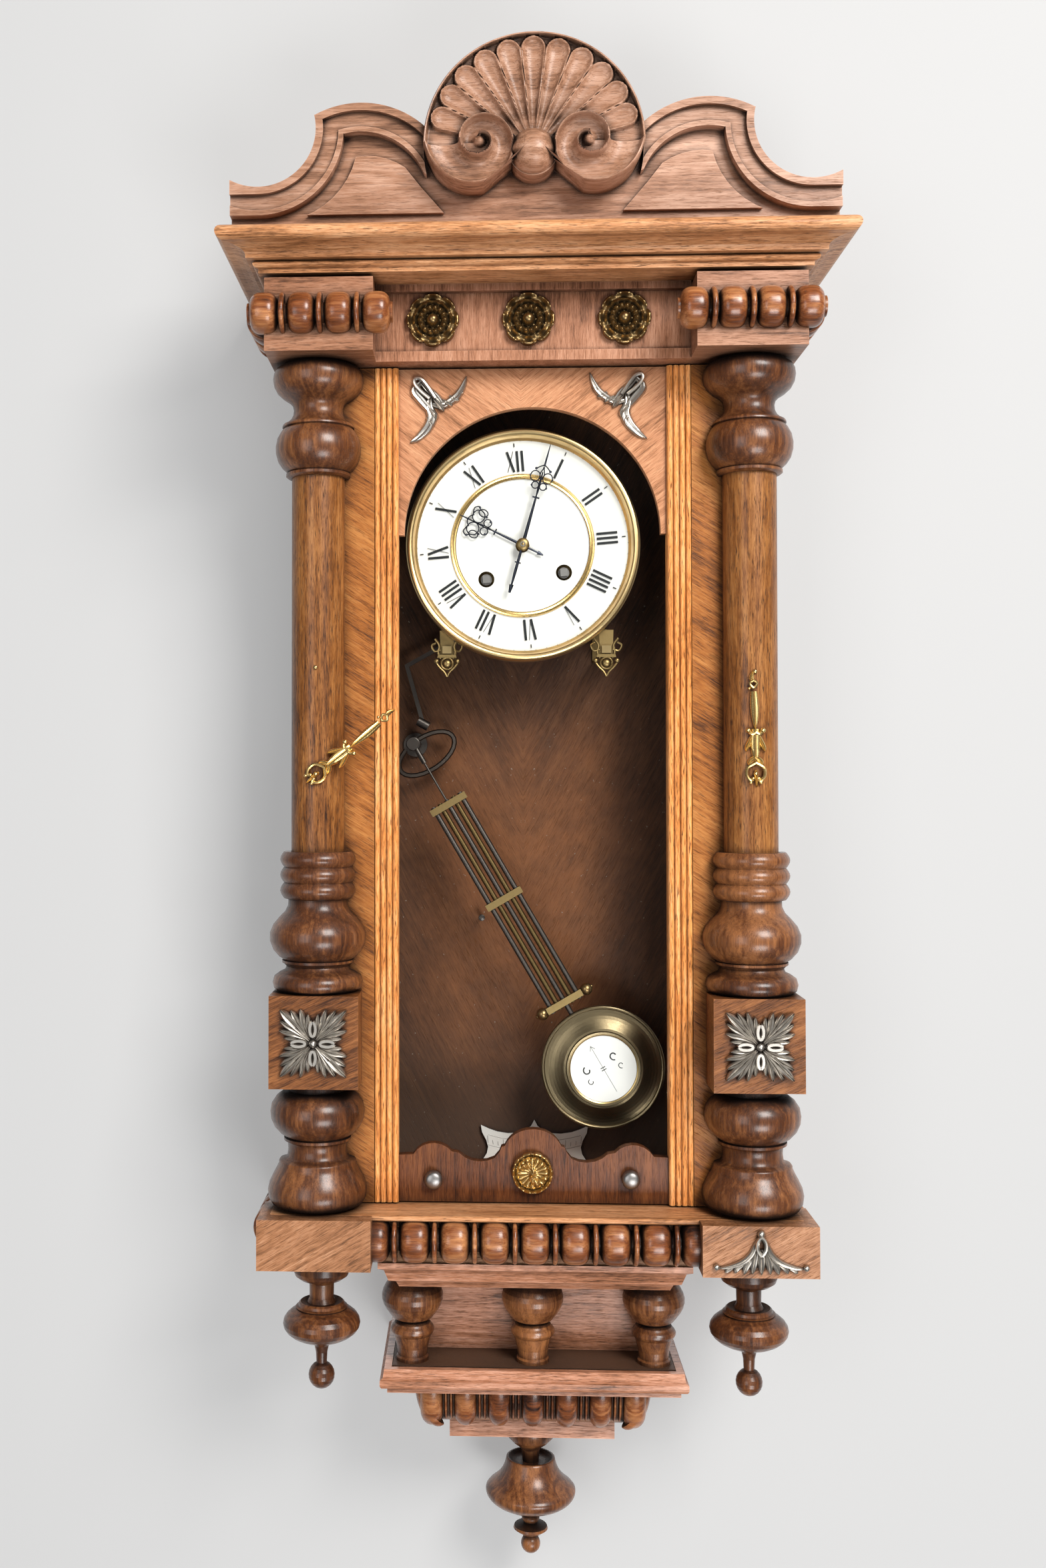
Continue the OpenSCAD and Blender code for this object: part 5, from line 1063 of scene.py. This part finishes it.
# %% [markdown]
# The hands are pierced steel, blued nearly black. Each is drawn along its own axis from the hub to
# its tip: a tapering rod, a cross bar, rings and curls of flat cord, and a needle point.

# %% Hands
HAND_CORD = 0.42


def hand(name, body, node, place, angle, rods, cords, balls):
    made = Shape()
    put = lambda p: on_face(p, place, -angle)
    for points, widths in rods:
        path = smooth_path(points, 10)
        made.loft(put(cord(path, np.interp(np.linspace(0, 1, 10), np.linspace(0, 1, len(widths)), widths),
                           8, 0.5)))
    for points in cords:
        for flip in (1, -1):
            path = smooth_path([(flip * x, y) for x, y in points], 22)
            made.loft(put(cord(path, HAND_CORD, 6, 0.8)))
    for x, y, radius in balls:
        for flip in (1, -1):
            made.loft(put(ball((flip * x, y, 0), radius, 0.6, 6, 10)))
    made.piece(name, blued, body, "blued_steel", [node])


def loop(x, y, rx, ry=None):
    ry = ry or rx
    return [(x + rx * math.cos(a), y + ry * math.sin(a)) for a in np.linspace(0, 2 * math.pi, 9)]


minute_low, minute_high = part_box("minute_hand")
MINUTE_ANGLE, HOUR_ANGLE = math.radians(15.6), math.radians(-63.6)
hand("minute_hand_pierced", "minute_hand", "minute_hand", (hub.x, minute_high.y - 0.0008, hub.z), MINUTE_ANGLE,
     [([(0, 0), (0, 18), (0, 36)], [1.3, 1.1, 0.7]), ([(-2.6, 35), (2.6, 35)], [0.6, 0.6]),
      ([(0, 58), (0, 66), (0, 74.5)], [0.7, 0.6, 0.25]), ([(0, 0), (0, -20), (0, -31)], [0.9, 1.1, 0.6]),
      ([(-2.2, -13.5), (2.2, -13.5)], [0.5, 0.5]), ([(0, -30), (0, -33), (0, -36)], [1.6, 1.2, 0.8])],
     [loop(2.9, 43.6, 2.5), loop(4.6, 50, 3.5, 3.8), [(0, 36), (0.4, 40), (0.3, 47), (0, 54)],
      [(0.2, 59), (2.6, 57.5), (5.2, 55.4)], [(0, 47), (1.5, 52), (0, 57)]],
     [(5.2, 55.4, 1.05), (0, 47, 0.9), (5.4, 43, 0.8), (0, 57, 0.8), (8.1, 50, 0.7)])
hour_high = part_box("hour_hand")[1]
hand("hour_hand_pierced", "hour_hand", "hour_hand", (hub.x, hour_high.y - 0.0005, hub.z), HOUR_ANGLE,
     [([(0, 0), (0, 12), (0, 24)], [1.1, 0.9, 0.6]), ([(-2.4, 22), (2.4, 22)], [0.5, 0.5]),
      ([(0, 43), (0, 47), (0, 50.5)], [0.6, 0.5, 0.25]), ([(0, 0), (0, -8), (0, -13)], [0.8, 0.7, 0.5]),
      ([(0, -12), (0, -14), (0, -16.5)], [1.5, 1.1, 0.4])],
     [loop(3.2, 29.5, 2.8), loop(4.9, 37.6, 4.7, 4.4), loop(8.4, 35.5, 2.6, 3.4),
      [(0, 24), (0.5, 30), (0, 37), (0, 44)], [(4.9, 42), (9.2, 43), (11.4, 40.2), (10, 38.6)],
      [(0.2, 44), (2.8, 43), (4.6, 41)]],
     [(4.8, 28, 0.9), (0, 33.6, 0.9), (11.0, 39.6, 0.9), (0, 43.4, 0.8), (6.6, 32, 0.8)])

# %% [markdown]
# The bead rows are split turnings: fat barrels with a thin reel between each two. One node tree
# sets a turned seed along a line and turns the line to face the front or the side. It runs twice
# for each row, once with the barrel and once with the reel, and the rows end inside the blocks.

# %% Bead rows
ROW_PITCH_HEAD, ROW_PITCH_BASE, ROW_PITCH_BASE_SIDE = 25.4, 27.2, 26.0
SIDEWAYS = math.pi / 2


def turned_seed(name, profile, sides=32):
    """A turned solid about the X axis, from (x, radius) pairs in millimetres."""
    angle = np.linspace(0, 2 * math.pi, sides, endpoint=False)
    made = Shape()
    made.loft(np.array([[(x, r * math.cos(a), r * math.sin(a)) for a in angle] for x, r in profile]) * MM)
    return made.object(name, 60)


def barrel(half, radius):
    """The outline of a barrel: full in its middle, round at its shoulders, with a neck at each end."""
    middle = [(half * t, radius * (0.5 + 0.5 * max(1 - abs(t) ** 3.2, 0) ** 0.62))
              for t in np.linspace(-1, 1, 17)]
    return [(-half - 1.6, radius * 0.5)] + middle + [(half + 1.6, radius * 0.5)]


def reel(half, radius):
    return [(half * math.sin(a), radius - half * 1.1 * (1 - math.cos(a)))
            for a in np.linspace(-1.57, 1.57, 9)]


def bead_row(name, profile, count, pitch, place, turn, replaces):
    tree = Tree(name, Count=count, Pitch=pitch * MM, Turn=turn, Material=bead_wood)
    step = tree.node("ShaderNodeCombineXYZ", {}, {"X": tree.entry.outputs["Pitch"]})
    line = tree.node("GeometryNodeMeshLine", {"mode": "OFFSET"},
                     {"Count": tree.entry.outputs["Count"], "Offset": step,
                      "Start Location": (-(count - 1) / 2 * pitch * MM, 0.0, 0.0)})
    spread = tree.node("GeometryNodeInstanceOnPoints", {},
                       {"Points": line, "Instance": tree.entry.outputs["Geometry"]})
    real = tree.node("GeometryNodeRealizeInstances", {}, {"Geometry": spread})
    angle = tree.node("ShaderNodeCombineXYZ", {}, {"Z": tree.entry.outputs["Turn"]})
    laid = tree.node("GeometryNodeTransform", {}, {"Geometry": real, "Rotation": angle, "Translation": place})
    dressed = tree.node("GeometryNodeSetMaterial", {},
                        {"Geometry": laid, "Material": tree.entry.outputs["Material"]})
    return tree.run(turned_seed(name, profile), dressed, name, "case", "walnut", [replaces])


head_low, head_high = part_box("frieze_beads")
HEAD_R, HEAD_FRONT = 14.0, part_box("frieze_blocks")[0].y
HEAD_Z = (head_low.z + head_high.z) / 2 + 0.0033
for side, label, px in ((-1, "left", 479), (1, "right", 1128)):
    middle = seen_at(px, 462, HEAD_FRONT - 0.004).x
    front = (middle, HEAD_FRONT, HEAD_Z)
    bead_row("head_beads_" + label, barrel(9.6, HEAD_R), 4, ROW_PITCH_HEAD, front, 0.0, "frieze_beads")
    bead_row("head_reels_" + label, reel(1.8, HEAD_R), 3, ROW_PITCH_HEAD, front, 0.0, "frieze_beads")
    flank = side * (head_high.x - HEAD_R * MM)
    middle_y = HEAD_FRONT + 1.62 * ROW_PITCH_HEAD * MM
    beside = (flank, middle_y, HEAD_Z)
    bead_row("head_side_beads_" + label, barrel(8.9, HEAD_R), 2, ROW_PITCH_HEAD, beside, SIDEWAYS,
             "frieze_beads")
    bead_row("head_side_reels_" + label, reel(1.8, HEAD_R), 3, ROW_PITCH_HEAD, beside, SIDEWAYS,
             "frieze_beads")
foot_low, foot_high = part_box("base_beads")
FOOT_R = (foot_high.z - foot_low.z) / 2 / MM * 0.98
FOOT_Z = (foot_low.z + foot_high.z) / 2
FOOT_FRONT = foot_low.y + FOOT_R * MM
front = (0.0, FOOT_FRONT, FOOT_Z)
bead_row("base_front_beads", barrel(10.5, FOOT_R), 9, ROW_PITCH_BASE, front, 0.0, "base_beads")
bead_row("base_front_reels", reel(1.7, FOOT_R), 8, ROW_PITCH_BASE, front, 0.0, "base_beads")
for side, label in ((-1, "left"), (1, "right")):
    flank = side * (foot_high.x - FOOT_R * MM)
    beside = (flank, (FOOT_FRONT + 0.02) / 2 - 0.004, FOOT_Z)
    bead_row("base_side_beads_" + label, barrel(9.9, FOOT_R), 4, ROW_PITCH_BASE_SIDE, beside, SIDEWAYS,
             "base_beads")
    bead_row("base_side_reels_" + label, reel(1.7, FOOT_R), 5, ROW_PITCH_BASE_SIDE, beside, SIDEWAYS,
             "base_beads")

# %% [markdown]
# The pendulum lies along a slant from its hook to the bob. Its rods are steel and brass by turns,
# and thin rings of brass are turned on the bob's front: a stepped one round the white disc and a
# rolled one at the rim. The disc carries only a fine line, a pair of short bars and a few curls.

# %% Pendulum
hook = Vector(next(j for j in frame["joints"] if j["child"] == "pendulum")["pos_m"])
bob_low, bob_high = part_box("pendulum_bob")
BOB = (bob_low + bob_high) / 2
LEAN = math.atan2(BOB.x - hook.x, hook.z - BOB.z)
ROD_R, ROD_PITCH, ROD_PAST = 1.9, 5.6, 3.5
HOOK_R, HOOK_WIRE = 4.4, 1.1
length = math.hypot(BOB.x - hook.x, hook.z - BOB.z) / MM
bars = [51.5, 132, length - 55]
swing_put = lambda p: on_face(p, (hook.x, (bob_low.y + bob_high.y) / 2 + 0.0005, hook.z), LEAN)


def rod(shape, x, top, low, radius):
    path = np.array([(x, -top, 0.0), (x, -(top + low) / 2, 0.0), (x, -low, 0.0)])
    shape.loft(swing_put(cord(path, radius, 16)))


steel_rods, brass_rods = Shape(), Shape()
rod(steel_rods, 0, bars[0] - ROD_PAST, length - 42, ROD_R)
rod(steel_rods, 0, 14, bars[0], 0.8)
rod(steel_rods, 0, 3, 16.5, 1.9)
hook_ring = np.array([(HOOK_R * math.cos(a), HOOK_R * math.sin(a), 0) for a in np.linspace(0, 2 * math.pi, 25)])
steel_rods.loft(swing_put(cord(hook_ring, HOOK_WIRE, 8)))
for x, shape in ((-2, steel_rods), (2, steel_rods), (-1, brass_rods), (1, brass_rods)):
    rod(shape, x * ROD_PITCH, bars[0] - ROD_PAST, bars[2] + ROD_PAST, ROD_R)
steel_rods.piece("steel_rods", dark_steel, "pendulum", "steel", ["gridiron_rods"])
brass_rods.piece("brass_rods", rod_brass, "pendulum", "brass", ["gridiron_rods"])

cross_bars, knobs = Shape(), Shape()
BAR_HALF, BAR_TALL, BAR_DEEP = 14.7, 2.5, 3.4
for drop in bars:
    corners = [(BAR_HALF * x, BAR_TALL * y - drop) for x, y in ((-1, -1), (1, -1), (1, 1), (-1, 1))]
    cross_bars.loft(swing_put(np.array([[(x, y, h) for x, y in corners] for h in (-BAR_DEEP, BAR_DEEP)])))
for flip in (1, -1):
    knobs.loft(swing_put(ball((flip * 18.4, -bars[2], 0), 4.6, 1.0, 9, 20)))
    knobs.loft(swing_put(cord(np.array([(flip * 13.0, -bars[2], 0.0), (flip * 15.0, -bars[2], 0.0),
                                        (flip * 17.0, -bars[2], 0.0)]), [1.8, 2.6, 1.8], 14)))
    knobs.loft(swing_put(ball((flip * 22.6, -bars[2], 0), 1.4, 1.0, 7, 12)))
cross_bars.piece("cross_bars", old_brass, "pendulum", "brass", ["gridiron_bars"])
knobs.piece("gridiron_knobs", bronze, "pendulum", "bronze", ["gridiron_bars"])

bob_rings, bob_marks = Shape(), Shape()
bob_put = lambda p: on_face(p, (BOB.x, bob_low.y + 0.0004, BOB.z), LEAN)
BOB_RINGS = ((24.2, 28.4, [1.9, 2.3, 1.6, 0.4, 0.9, 0.2]), (43.0, 44.7, [-5.6, -4.4, -5.6]))
for inner, outer, heights in BOB_RINGS:
    points, faces = ring_section(inner, outer, heights)
    points[..., 2] = np.where(points[..., 2] <= -SUNK, min(heights) - 2.0, points[..., 2])
    bob_rings.add(bob_put(points - [0, 0, 2.2]), faces)
bob_rings.piece("bob_rings", brass, "pendulum", "brass")
disc_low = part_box("bob_disc")[0]
disc_put = lambda p: on_face(p, (BOB.x, disc_low.y, BOB.z), LEAN)
DISC_BARS = (((0, -19), (0, 19), 0.25), ((-1.9, -0.9), (1.9, -0.9), 0.6), ((-1.9, 0.9), (1.9, 0.9), 0.6),
             ((-2, 15.5), (0, 18.5), 0.3), ((2, 15.5), (0, 18.5), 0.3))
for start, end, width in DISC_BARS:
    bob_marks.loft(disc_put(bar(start, end, width)))
for side in (-1, 1):
    for centre, radius in (((side * 11, 4.5), 3.2), ((side * 12.5, -4), 2.4)):
        curl = [(centre[0] + (0.5 + 0.1 * a) * radius * math.cos(a * side), centre[1]
                 + (0.5 + 0.1 * a) * radius * math.sin(a * side), 0.0) for a in np.linspace(0, 4.6, 20)]
        bob_marks.loft(disc_put(cord(np.array(curl), 0.5 if radius > 3 else 0.3, 6, 0.5)))
bob_marks.piece("bob_marks", black_enamel, "pendulum", "enamel")

# %% [markdown]
# The movement stands on two pierced brass brackets. Below the dial each shows a bright square of
# the plate's foot, a pair of knobs, and a round eye with its screw inside a pointed loop.

# %% Movement brackets
MOVEMENT_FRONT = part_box("front_plate")[0].y
castings, feet = Shape(), Shape()
BRACKET_CORDS = (([(-8.4, 1.5), (-5.5, -2.5), (-2, -6), (0, -9.5)], 0.8),
                 ([(-4.4, 3.6), (-6.2, 8), (-5.4, 13), (-8.6, 18)], 1.0),
                 ([(-4.8, 10), (-9, 9), (-11, 13), (-8, 15)], 0.8))
BRACKET_PLATES = ((castings, [(-7, 4.2), (7, 4.2), (6.4, 6.4), (-6.4, 6.4)], -0.6, 1.8),
                  (castings, [(-4.6, 6), (4.6, 6), (5.2, 24), (-5.2, 24)], -1.2, 0.2),
                  (feet, [(-3.3, 7.2), (3.3, 7.2), (3.3, 12.6), (-3.3, 12.6)], 0.1, 2.4))
BRACKET_HALF = 0.0055


def slab(shape, low, high):
    """A block between two corners, in metres."""
    (x0, y0, z0), (x1, y1, z1) = low, high
    shape.loft(np.array([[(x, y0, z0), (x, y1, z0), (x, y1, z1), (x, y0, z1)] for x in (x0, x1)]))


for px, py in ((670, 995), (909, 994)):
    eye = seen_at(px, py, MOVEMENT_FRONT - 0.002)
    put = lambda p: on_face(p, (eye.x, MOVEMENT_FRONT - 0.001, eye.z))
    ring = [(4.2 * math.cos(a), 4.2 * math.sin(a), 0.6) for a in np.linspace(0, 2 * math.pi, 25)]
    castings.loft(put(cord(np.array(ring), 1.0, 8)))
    castings.loft(put(ball((0, 0, 0.2), 3.0, 0.5, 7, 18)))
    for flip in (1, -1):
        for points, radius in BRACKET_CORDS:
            castings.loft(put(cord(smooth_path([(flip * x, y, 0.4) for x, y in points], 14), radius, 7)))
        castings.loft(put(ball((flip * 7.6, 1.8, 0.6), 1.9, 0.8)))
    for shape, corners, under, top in BRACKET_PLATES:
        shape.loft(put(np.array([[(x, y, h) for x, y in corners] for h in (under, top)])))
    left, right, back = eye.x - BRACKET_HALF, eye.x + BRACKET_HALF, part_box("backboard")[0].y
    slab(castings, (left, MOVEMENT_FRONT, eye.z + 0.004), (right, back, eye.z + 0.006))
    slab(castings, (left, back - 0.002, eye.z + 0.004), (right, back, eye.z + 0.030))
castings.piece("bracket_castings", old_brass, "case", "brass", ["movement_brackets"])
feet.piece("bracket_feet", bezel_gilt, "case", "brass")

# %% [markdown]
# A brass washer and a slotted pin hold the hands, and a dark pin stands in the backboard beside the
# pendulum. The beat scale is a white plate shaped like an anchor, drawn from its corners in the
# photograph, with fine painted lines.

# %% Hub, pin and beat scale
washer, back_pin, scale_plate, scale_marks = Shape(), Shape(), Shape(), Shape()
hub_place = (hub.x, minute_low.y + 0.0012, hub.z)
washer.loft(on_face(ball((0, 0, 0), 4.6, 0.3, 7, 24), hub_place))
washer.loft(on_face(ball((0, 0, 0.9), 1.8, 0.7, 7, 16), hub_place))
washer.piece("hub_washer", old_brass, "minute_hand", "brass")
PIN_X, PIN_UP = -0.0356, 0.190
pin_place = (PIN_X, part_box("backboard")[0].y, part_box("door_frame")[0].z + PIN_UP)
back_pin.loft(on_face(post([(1.3, -1), (1.3, 8), (2.4, 8.6), (2.4, 10.4), (1, 11)]), pin_place))
back_pin.piece("back_pin", dark_steel, "case", "steel")

scale_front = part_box("beat_scale")[0].y
PLATE_PEAK, PLATE_T, SCALE_STEP, SCALE_BEND = 17.6, 1.2, 3.9, 0.004
half_plate = [(0, PLATE_PEAK), (2.4, 13), (7, 9.2), (13, 7.6), (20, 7.2), (28, 8.4), (34, 10.4), (40.4, 13.2),
              (39.6, 8), (36.4, 2), (35, -3), (36, -8), (39.2, -13), (20, -16), (0, -17)]
outline = half_plate + [(-x, y) for x, y in half_plate[-2:0:-1]]
peak = seen_at(801, 1679, scale_front)
scale_put = lambda p: on_face(p, (peak.x, scale_front, peak.z - PLATE_PEAK * MM))
scale_plate.loft(scale_put(np.array([[(x, y, h) for x, y in outline] for h in (-PLATE_T, 0.0)])))
scale_plate.piece("scale_plate", enamel, "case", "enamel", ["beat_scale"])
for i in range(-9, 10):
    x, tall = i * SCALE_STEP, 3.0 if i % 3 else 5.4
    foot = -5.0 + SCALE_BEND * x * x
    scale_marks.loft(scale_put(bar((x, foot), (x * 1.01, foot + tall), 0.3)))
for lift in (-6.4, 1.2):
    line = [(x, lift + SCALE_BEND * x * x, 0.0) for x in np.linspace(-35, 35, 25)]
    scale_marks.loft(scale_put(cord(np.array(line), 0.2, 6, 0.4)))
scale_marks.piece("scale_lines", steel, "case", "enamel")

# %% [markdown]
# The columns' ends are turned: a round cushion and a vase above, torus, vase and three rings below,
# and a bell-shaped foot under the square block. Each outline is a list of radius and height. The
# turnings are split, so their back halves end flat in the door.

# %% Column ends
door_low_corner, door_high_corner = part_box("door_frame")
SHAFT_R, BLOCK_HALF, BLOCK_LOW, BLOCK_TOP = 0.0185, 0.0305, 0.085, 0.148
COLUMN_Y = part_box("column_shafts")[0].y + SHAFT_R
SPLIT_Y = door_low_corner.y + 0.0004


def turning(shape, line, x, y, z, split=None, sides=72):
    """A turned solid about a vertical line, cut flat at the plane y = split if one is given."""
    angle = np.linspace(0, 2 * math.pi, sides, endpoint=False)
    rows = np.array([[(x + r * MM * math.cos(a), y + r * MM * math.sin(a), z + h * MM) for a in angle]
                     for r, h in line])
    if split is not None:
        rows[..., 1] = np.minimum(rows[..., 1], split)
    shape.loft(rows)


def swell(low, high, small, big, count=8):
    """The outline of one round member, as half a sine wave."""
    return [(small + (big - small) * math.sin(math.pi * t), low + (high - low) * t)
            for t in np.linspace(0, 1, count + 1)]


CUSHION = [(25, 0), (29.4, -2.6), (31.3, -6), (31.8, -9.8), (31, -14.6), (28.6, -19), (24.6, -22.6),
           (20.4, -25.2), (18, -27.8), (17.2, -31), (17.6, -34.6), (19.2, -37.8), (22, -40.4),
           (24.6, -41.6), (25.2, -42.6), (25.2, -43.6), (24.2, -44.4), (26.2, -46.6), (28.8, -51.4),
           (29.9, -57), (29.8, -61.6), (28.2, -67.4), (25.4, -71.6), (22.4, -74.4),
           (21.6, -75.2), (22.6, -76), (22.6, -77.8), (21, -79), (18, -79.4)]
FOOT = [(27.5, 0), (31.5, 2), (33.8, 6), (34.4, 11), (33.4, 16), (31, 21), (28.6, 25.4), (26.7, 29.4),
        (26.8, 30.6), (26, 31.8), (22.6, 32.8), (20.9, 34.4), (20.3, 39), (20.6, 43), (21.4, 44.6),
        (23.3, 45.3), (23.3, 47), (22, 47.8),
        (26, 50.4), (30, 54.8), (32.3, 60), (32.8, 65), (31.8, 70.5), (28.5, 75.4), (24.2, 78.6),
        (20, 79.4), (20, 85.4)]
RINGS = [pair for i in range(3) for pair in swell(64.6 + i * 10.8, 75.4 + i * 10.8, 23.6, 26.3, 6)]
VASE = [(27, -0.2), (30.4, 2.4), (31.4, 6.4), (30.2, 10.6), (26.6, 13.2), (22.8, 15), (21.8, 17.4),
        (23.4, 19.2), (24.8, 20), (24.8, 21.6), (24, 22.2), (27.2, 24.4), (31.2, 29), (33.4, 35),
        (33.4, 40.6), (31, 46.4), (26.6, 51.6), (22.8, 55.4), (20.8, 59.6), (20.6, 63.8)] + RINGS + [(18.6, 97)]
capitals, bases, blocks = Shape(), Shape(), Shape()
for side in (-1, 1):
    x = side * COLUMN_X
    turning(capitals, CUSHION, x, COLUMN_Y, door_high_corner.z, SPLIT_Y)
    turning(bases, FOOT, x, COLUMN_Y, door_low_corner.z, SPLIT_Y)
    turning(bases, VASE, x, COLUMN_Y, door_low_corner.z + BLOCK_TOP, SPLIT_Y)
    slab(blocks, (x - BLOCK_HALF, COLUMN_Y - BLOCK_HALF, door_low_corner.z + BLOCK_LOW),
         (x + BLOCK_HALF, SPLIT_Y, door_low_corner.z + BLOCK_TOP))
capitals.piece("column_capitals_turned", walnut_z, "door", "walnut", ["column_capitals"], sharp=50)
bases.piece("column_feet_turned", walnut_z, "door", "walnut", ["column_bases"], sharp=50)
blocks.piece("column_blocks", column_block_wood, "door", "walnut")

# %% [markdown]
# Under the shelf the bracket is a bowl with seven gadroons on its front and three on each side. Each
# is half round with a round lower end, and a pair of thin fillets stands between each two. A dark
# board on the shelf's floor above them is painted shade. The finial hangs below: a cone, a thin
# neck, and a bell whose hollow takes the neck.

# %% Bracket cove and finial
cove_low_corner, cove_high_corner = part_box("bracket_cove")
CAP_H, BOWL_BACK, WALL_SIDE = 0.013, -0.02, -0.0002
CAP_TOP = cove_low_corner.z + CAP_H
BOWL = cove_high_corner.z - CAP_TOP
BOWL_HALF, BOWL_DEEP, BOWL_OUT = 0.0565, 0.0785, 0.021
bowl, lobes, cap, painted_shade_floor = Shape(), Shape(), Shape(), Shape()


def bowl_at(t):
    """Half width, depth, height and the two parts of the outward normal at part t of the bowl."""
    a = t * math.pi / 2
    run, rise = BOWL_OUT * math.cos(a), BOWL * math.sin(a)
    size = math.hypot(run, rise)
    out = BOWL_OUT * math.sin(a)
    return BOWL_HALF + out, BOWL_DEEP + out, CAP_TOP + BOWL * (1 - math.cos(a)), rise / size, run / size


bowl.loft(np.array([[(-x, -y, z), (x, -y, z), (x, BOWL_BACK, z), (-x, BOWL_BACK, z)]
                    for x, y, z, _, _ in (bowl_at(t) for t in np.linspace(0, 1, 15))]))


def gadroon(shape, middle, half, lift, flank, first):
    """A rib up the bowl. Flank 0 is the front, and -1 and 1 are the sides."""
    rows = []
    for t in np.linspace(first, 1, 20):
        x, y, z, out, down = bowl_at(t)
        full = math.sqrt(max(1 - (1 - min((t - first) / 0.42, 1)) ** 2, 0.02))
        row = []
        for a in np.linspace(-0.3, math.pi + 0.3, 15):
            along, off = middle + half * full * math.cos(a), lift * full * math.sin(a)
            if flank:
                row.append((flank * (x + off * out), along, z - off * down))
            else:
                row.append((along, -(y + off * out), z - off * down))
        rows.append(row)
    shape.loft(np.array(rows))


LOBE_PITCH, LOBE_HALF, LOBE_START = 0.0238, 0.0082, 0.2
FILLET_OFF, FILLET_HALF, FILLET_START = 0.0019, 0.0014, 0.34
SIDE_FIRST = -0.0925
for i in range(7):
    gadroon(lobes, (i - 3) * LOBE_PITCH, LOBE_HALF, 0.0068, 0, LOBE_START)
for i in range(6):
    for side in (-1, 1):
        gadroon(lobes, (i - 2.5) * LOBE_PITCH + side * FILLET_OFF, FILLET_HALF, 0.0036, 0, FILLET_START)
for flank in (-1, 1):
    for i in range(3):
        middle = SIDE_FIRST + i * LOBE_PITCH
        gadroon(lobes, middle, LOBE_HALF, 0.0062, flank, LOBE_START)
        for side in (-1, 1):
            gadroon(lobes, middle + LOBE_PITCH / 2 + side * FILLET_OFF, FILLET_HALF, 0.0034, flank,
                    FILLET_START)
CAP_HALF, CAP_DEEP = 0.059, 0.078
slab(cap, (-CAP_HALF, -CAP_DEEP, cove_low_corner.z), (CAP_HALF, WALL_SIDE, CAP_TOP + 0.0004))
bowl.piece("bracket_bowl", walnut_x, "case", "walnut", ["bracket_cove"])
lobes.piece("bracket_gadroons", bead_wood, "case", "walnut", sharp=60)
cap.piece("bracket_cap", bracket_wood_painted_light, "case", "walnut")
# Painted shade: a thin dark board laid on the shelf's floor.
FLOOR_HALF, FLOOR_FRONT, FLOOR_BACK = 0.0985, -0.1105, -0.0202
floor_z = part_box("bracket_balusters")[0].z
slab(painted_shade_floor, (-FLOOR_HALF, FLOOR_FRONT, floor_z - 0.0002), (FLOOR_HALF, FLOOR_BACK, floor_z + 0.0006))
painted_shade_floor.piece("shelf_floor_painted_shade", back_wood, "case", "walnut")

finial_low, finial_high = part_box("bottom_finial")
FINIAL_Y, TALL, BALL_R = -0.045, (finial_high.z - finial_low.z) / MM, 7.1
FINIAL = [(17, 0.4), (17.5, -7), (16.8, -12), (13, -16), (9, -19), (6.6, -22), (6, -30), (9, -31),
          (14.4, -29), (15.6, -27.4), (16.8, -27), (17.8, -27.6), (18.2, -29.4), (19.2, -33), (21, -37),
          (23.8, -41), (27.4, -44.6), (31, -47.4), (32.7, -49.4)]
FINIAL += [(33 * math.cos(a), 13.8 * math.sin(a) - 51) for a in np.linspace(0.05, -1.36, 12)]
FINIAL += [(4.4, -0.68 * TALL), (4.2, -0.7 * TALL)] + swell(-0.705 * TALL, -0.77 * TALL, 4.6, 6.6, 5)
FINIAL += [(7.4, -0.78 * TALL), (12, -0.795 * TALL), (12.6, -0.812 * TALL), (8.4, -0.845 * TALL),
           (4, -0.865 * TALL)]
FINIAL += [(BALL_R * math.cos(a), BALL_R * (1 + math.sin(a)) - TALL) for a in np.linspace(0.96, -1.5, 11)]
finial = Shape()
turning(finial, FINIAL, 0.0, FINIAL_Y, finial_high.z)
finial.piece("bottom_finial_turned", walnut_z, "case", "walnut", ["bottom_finial"], sharp=50)
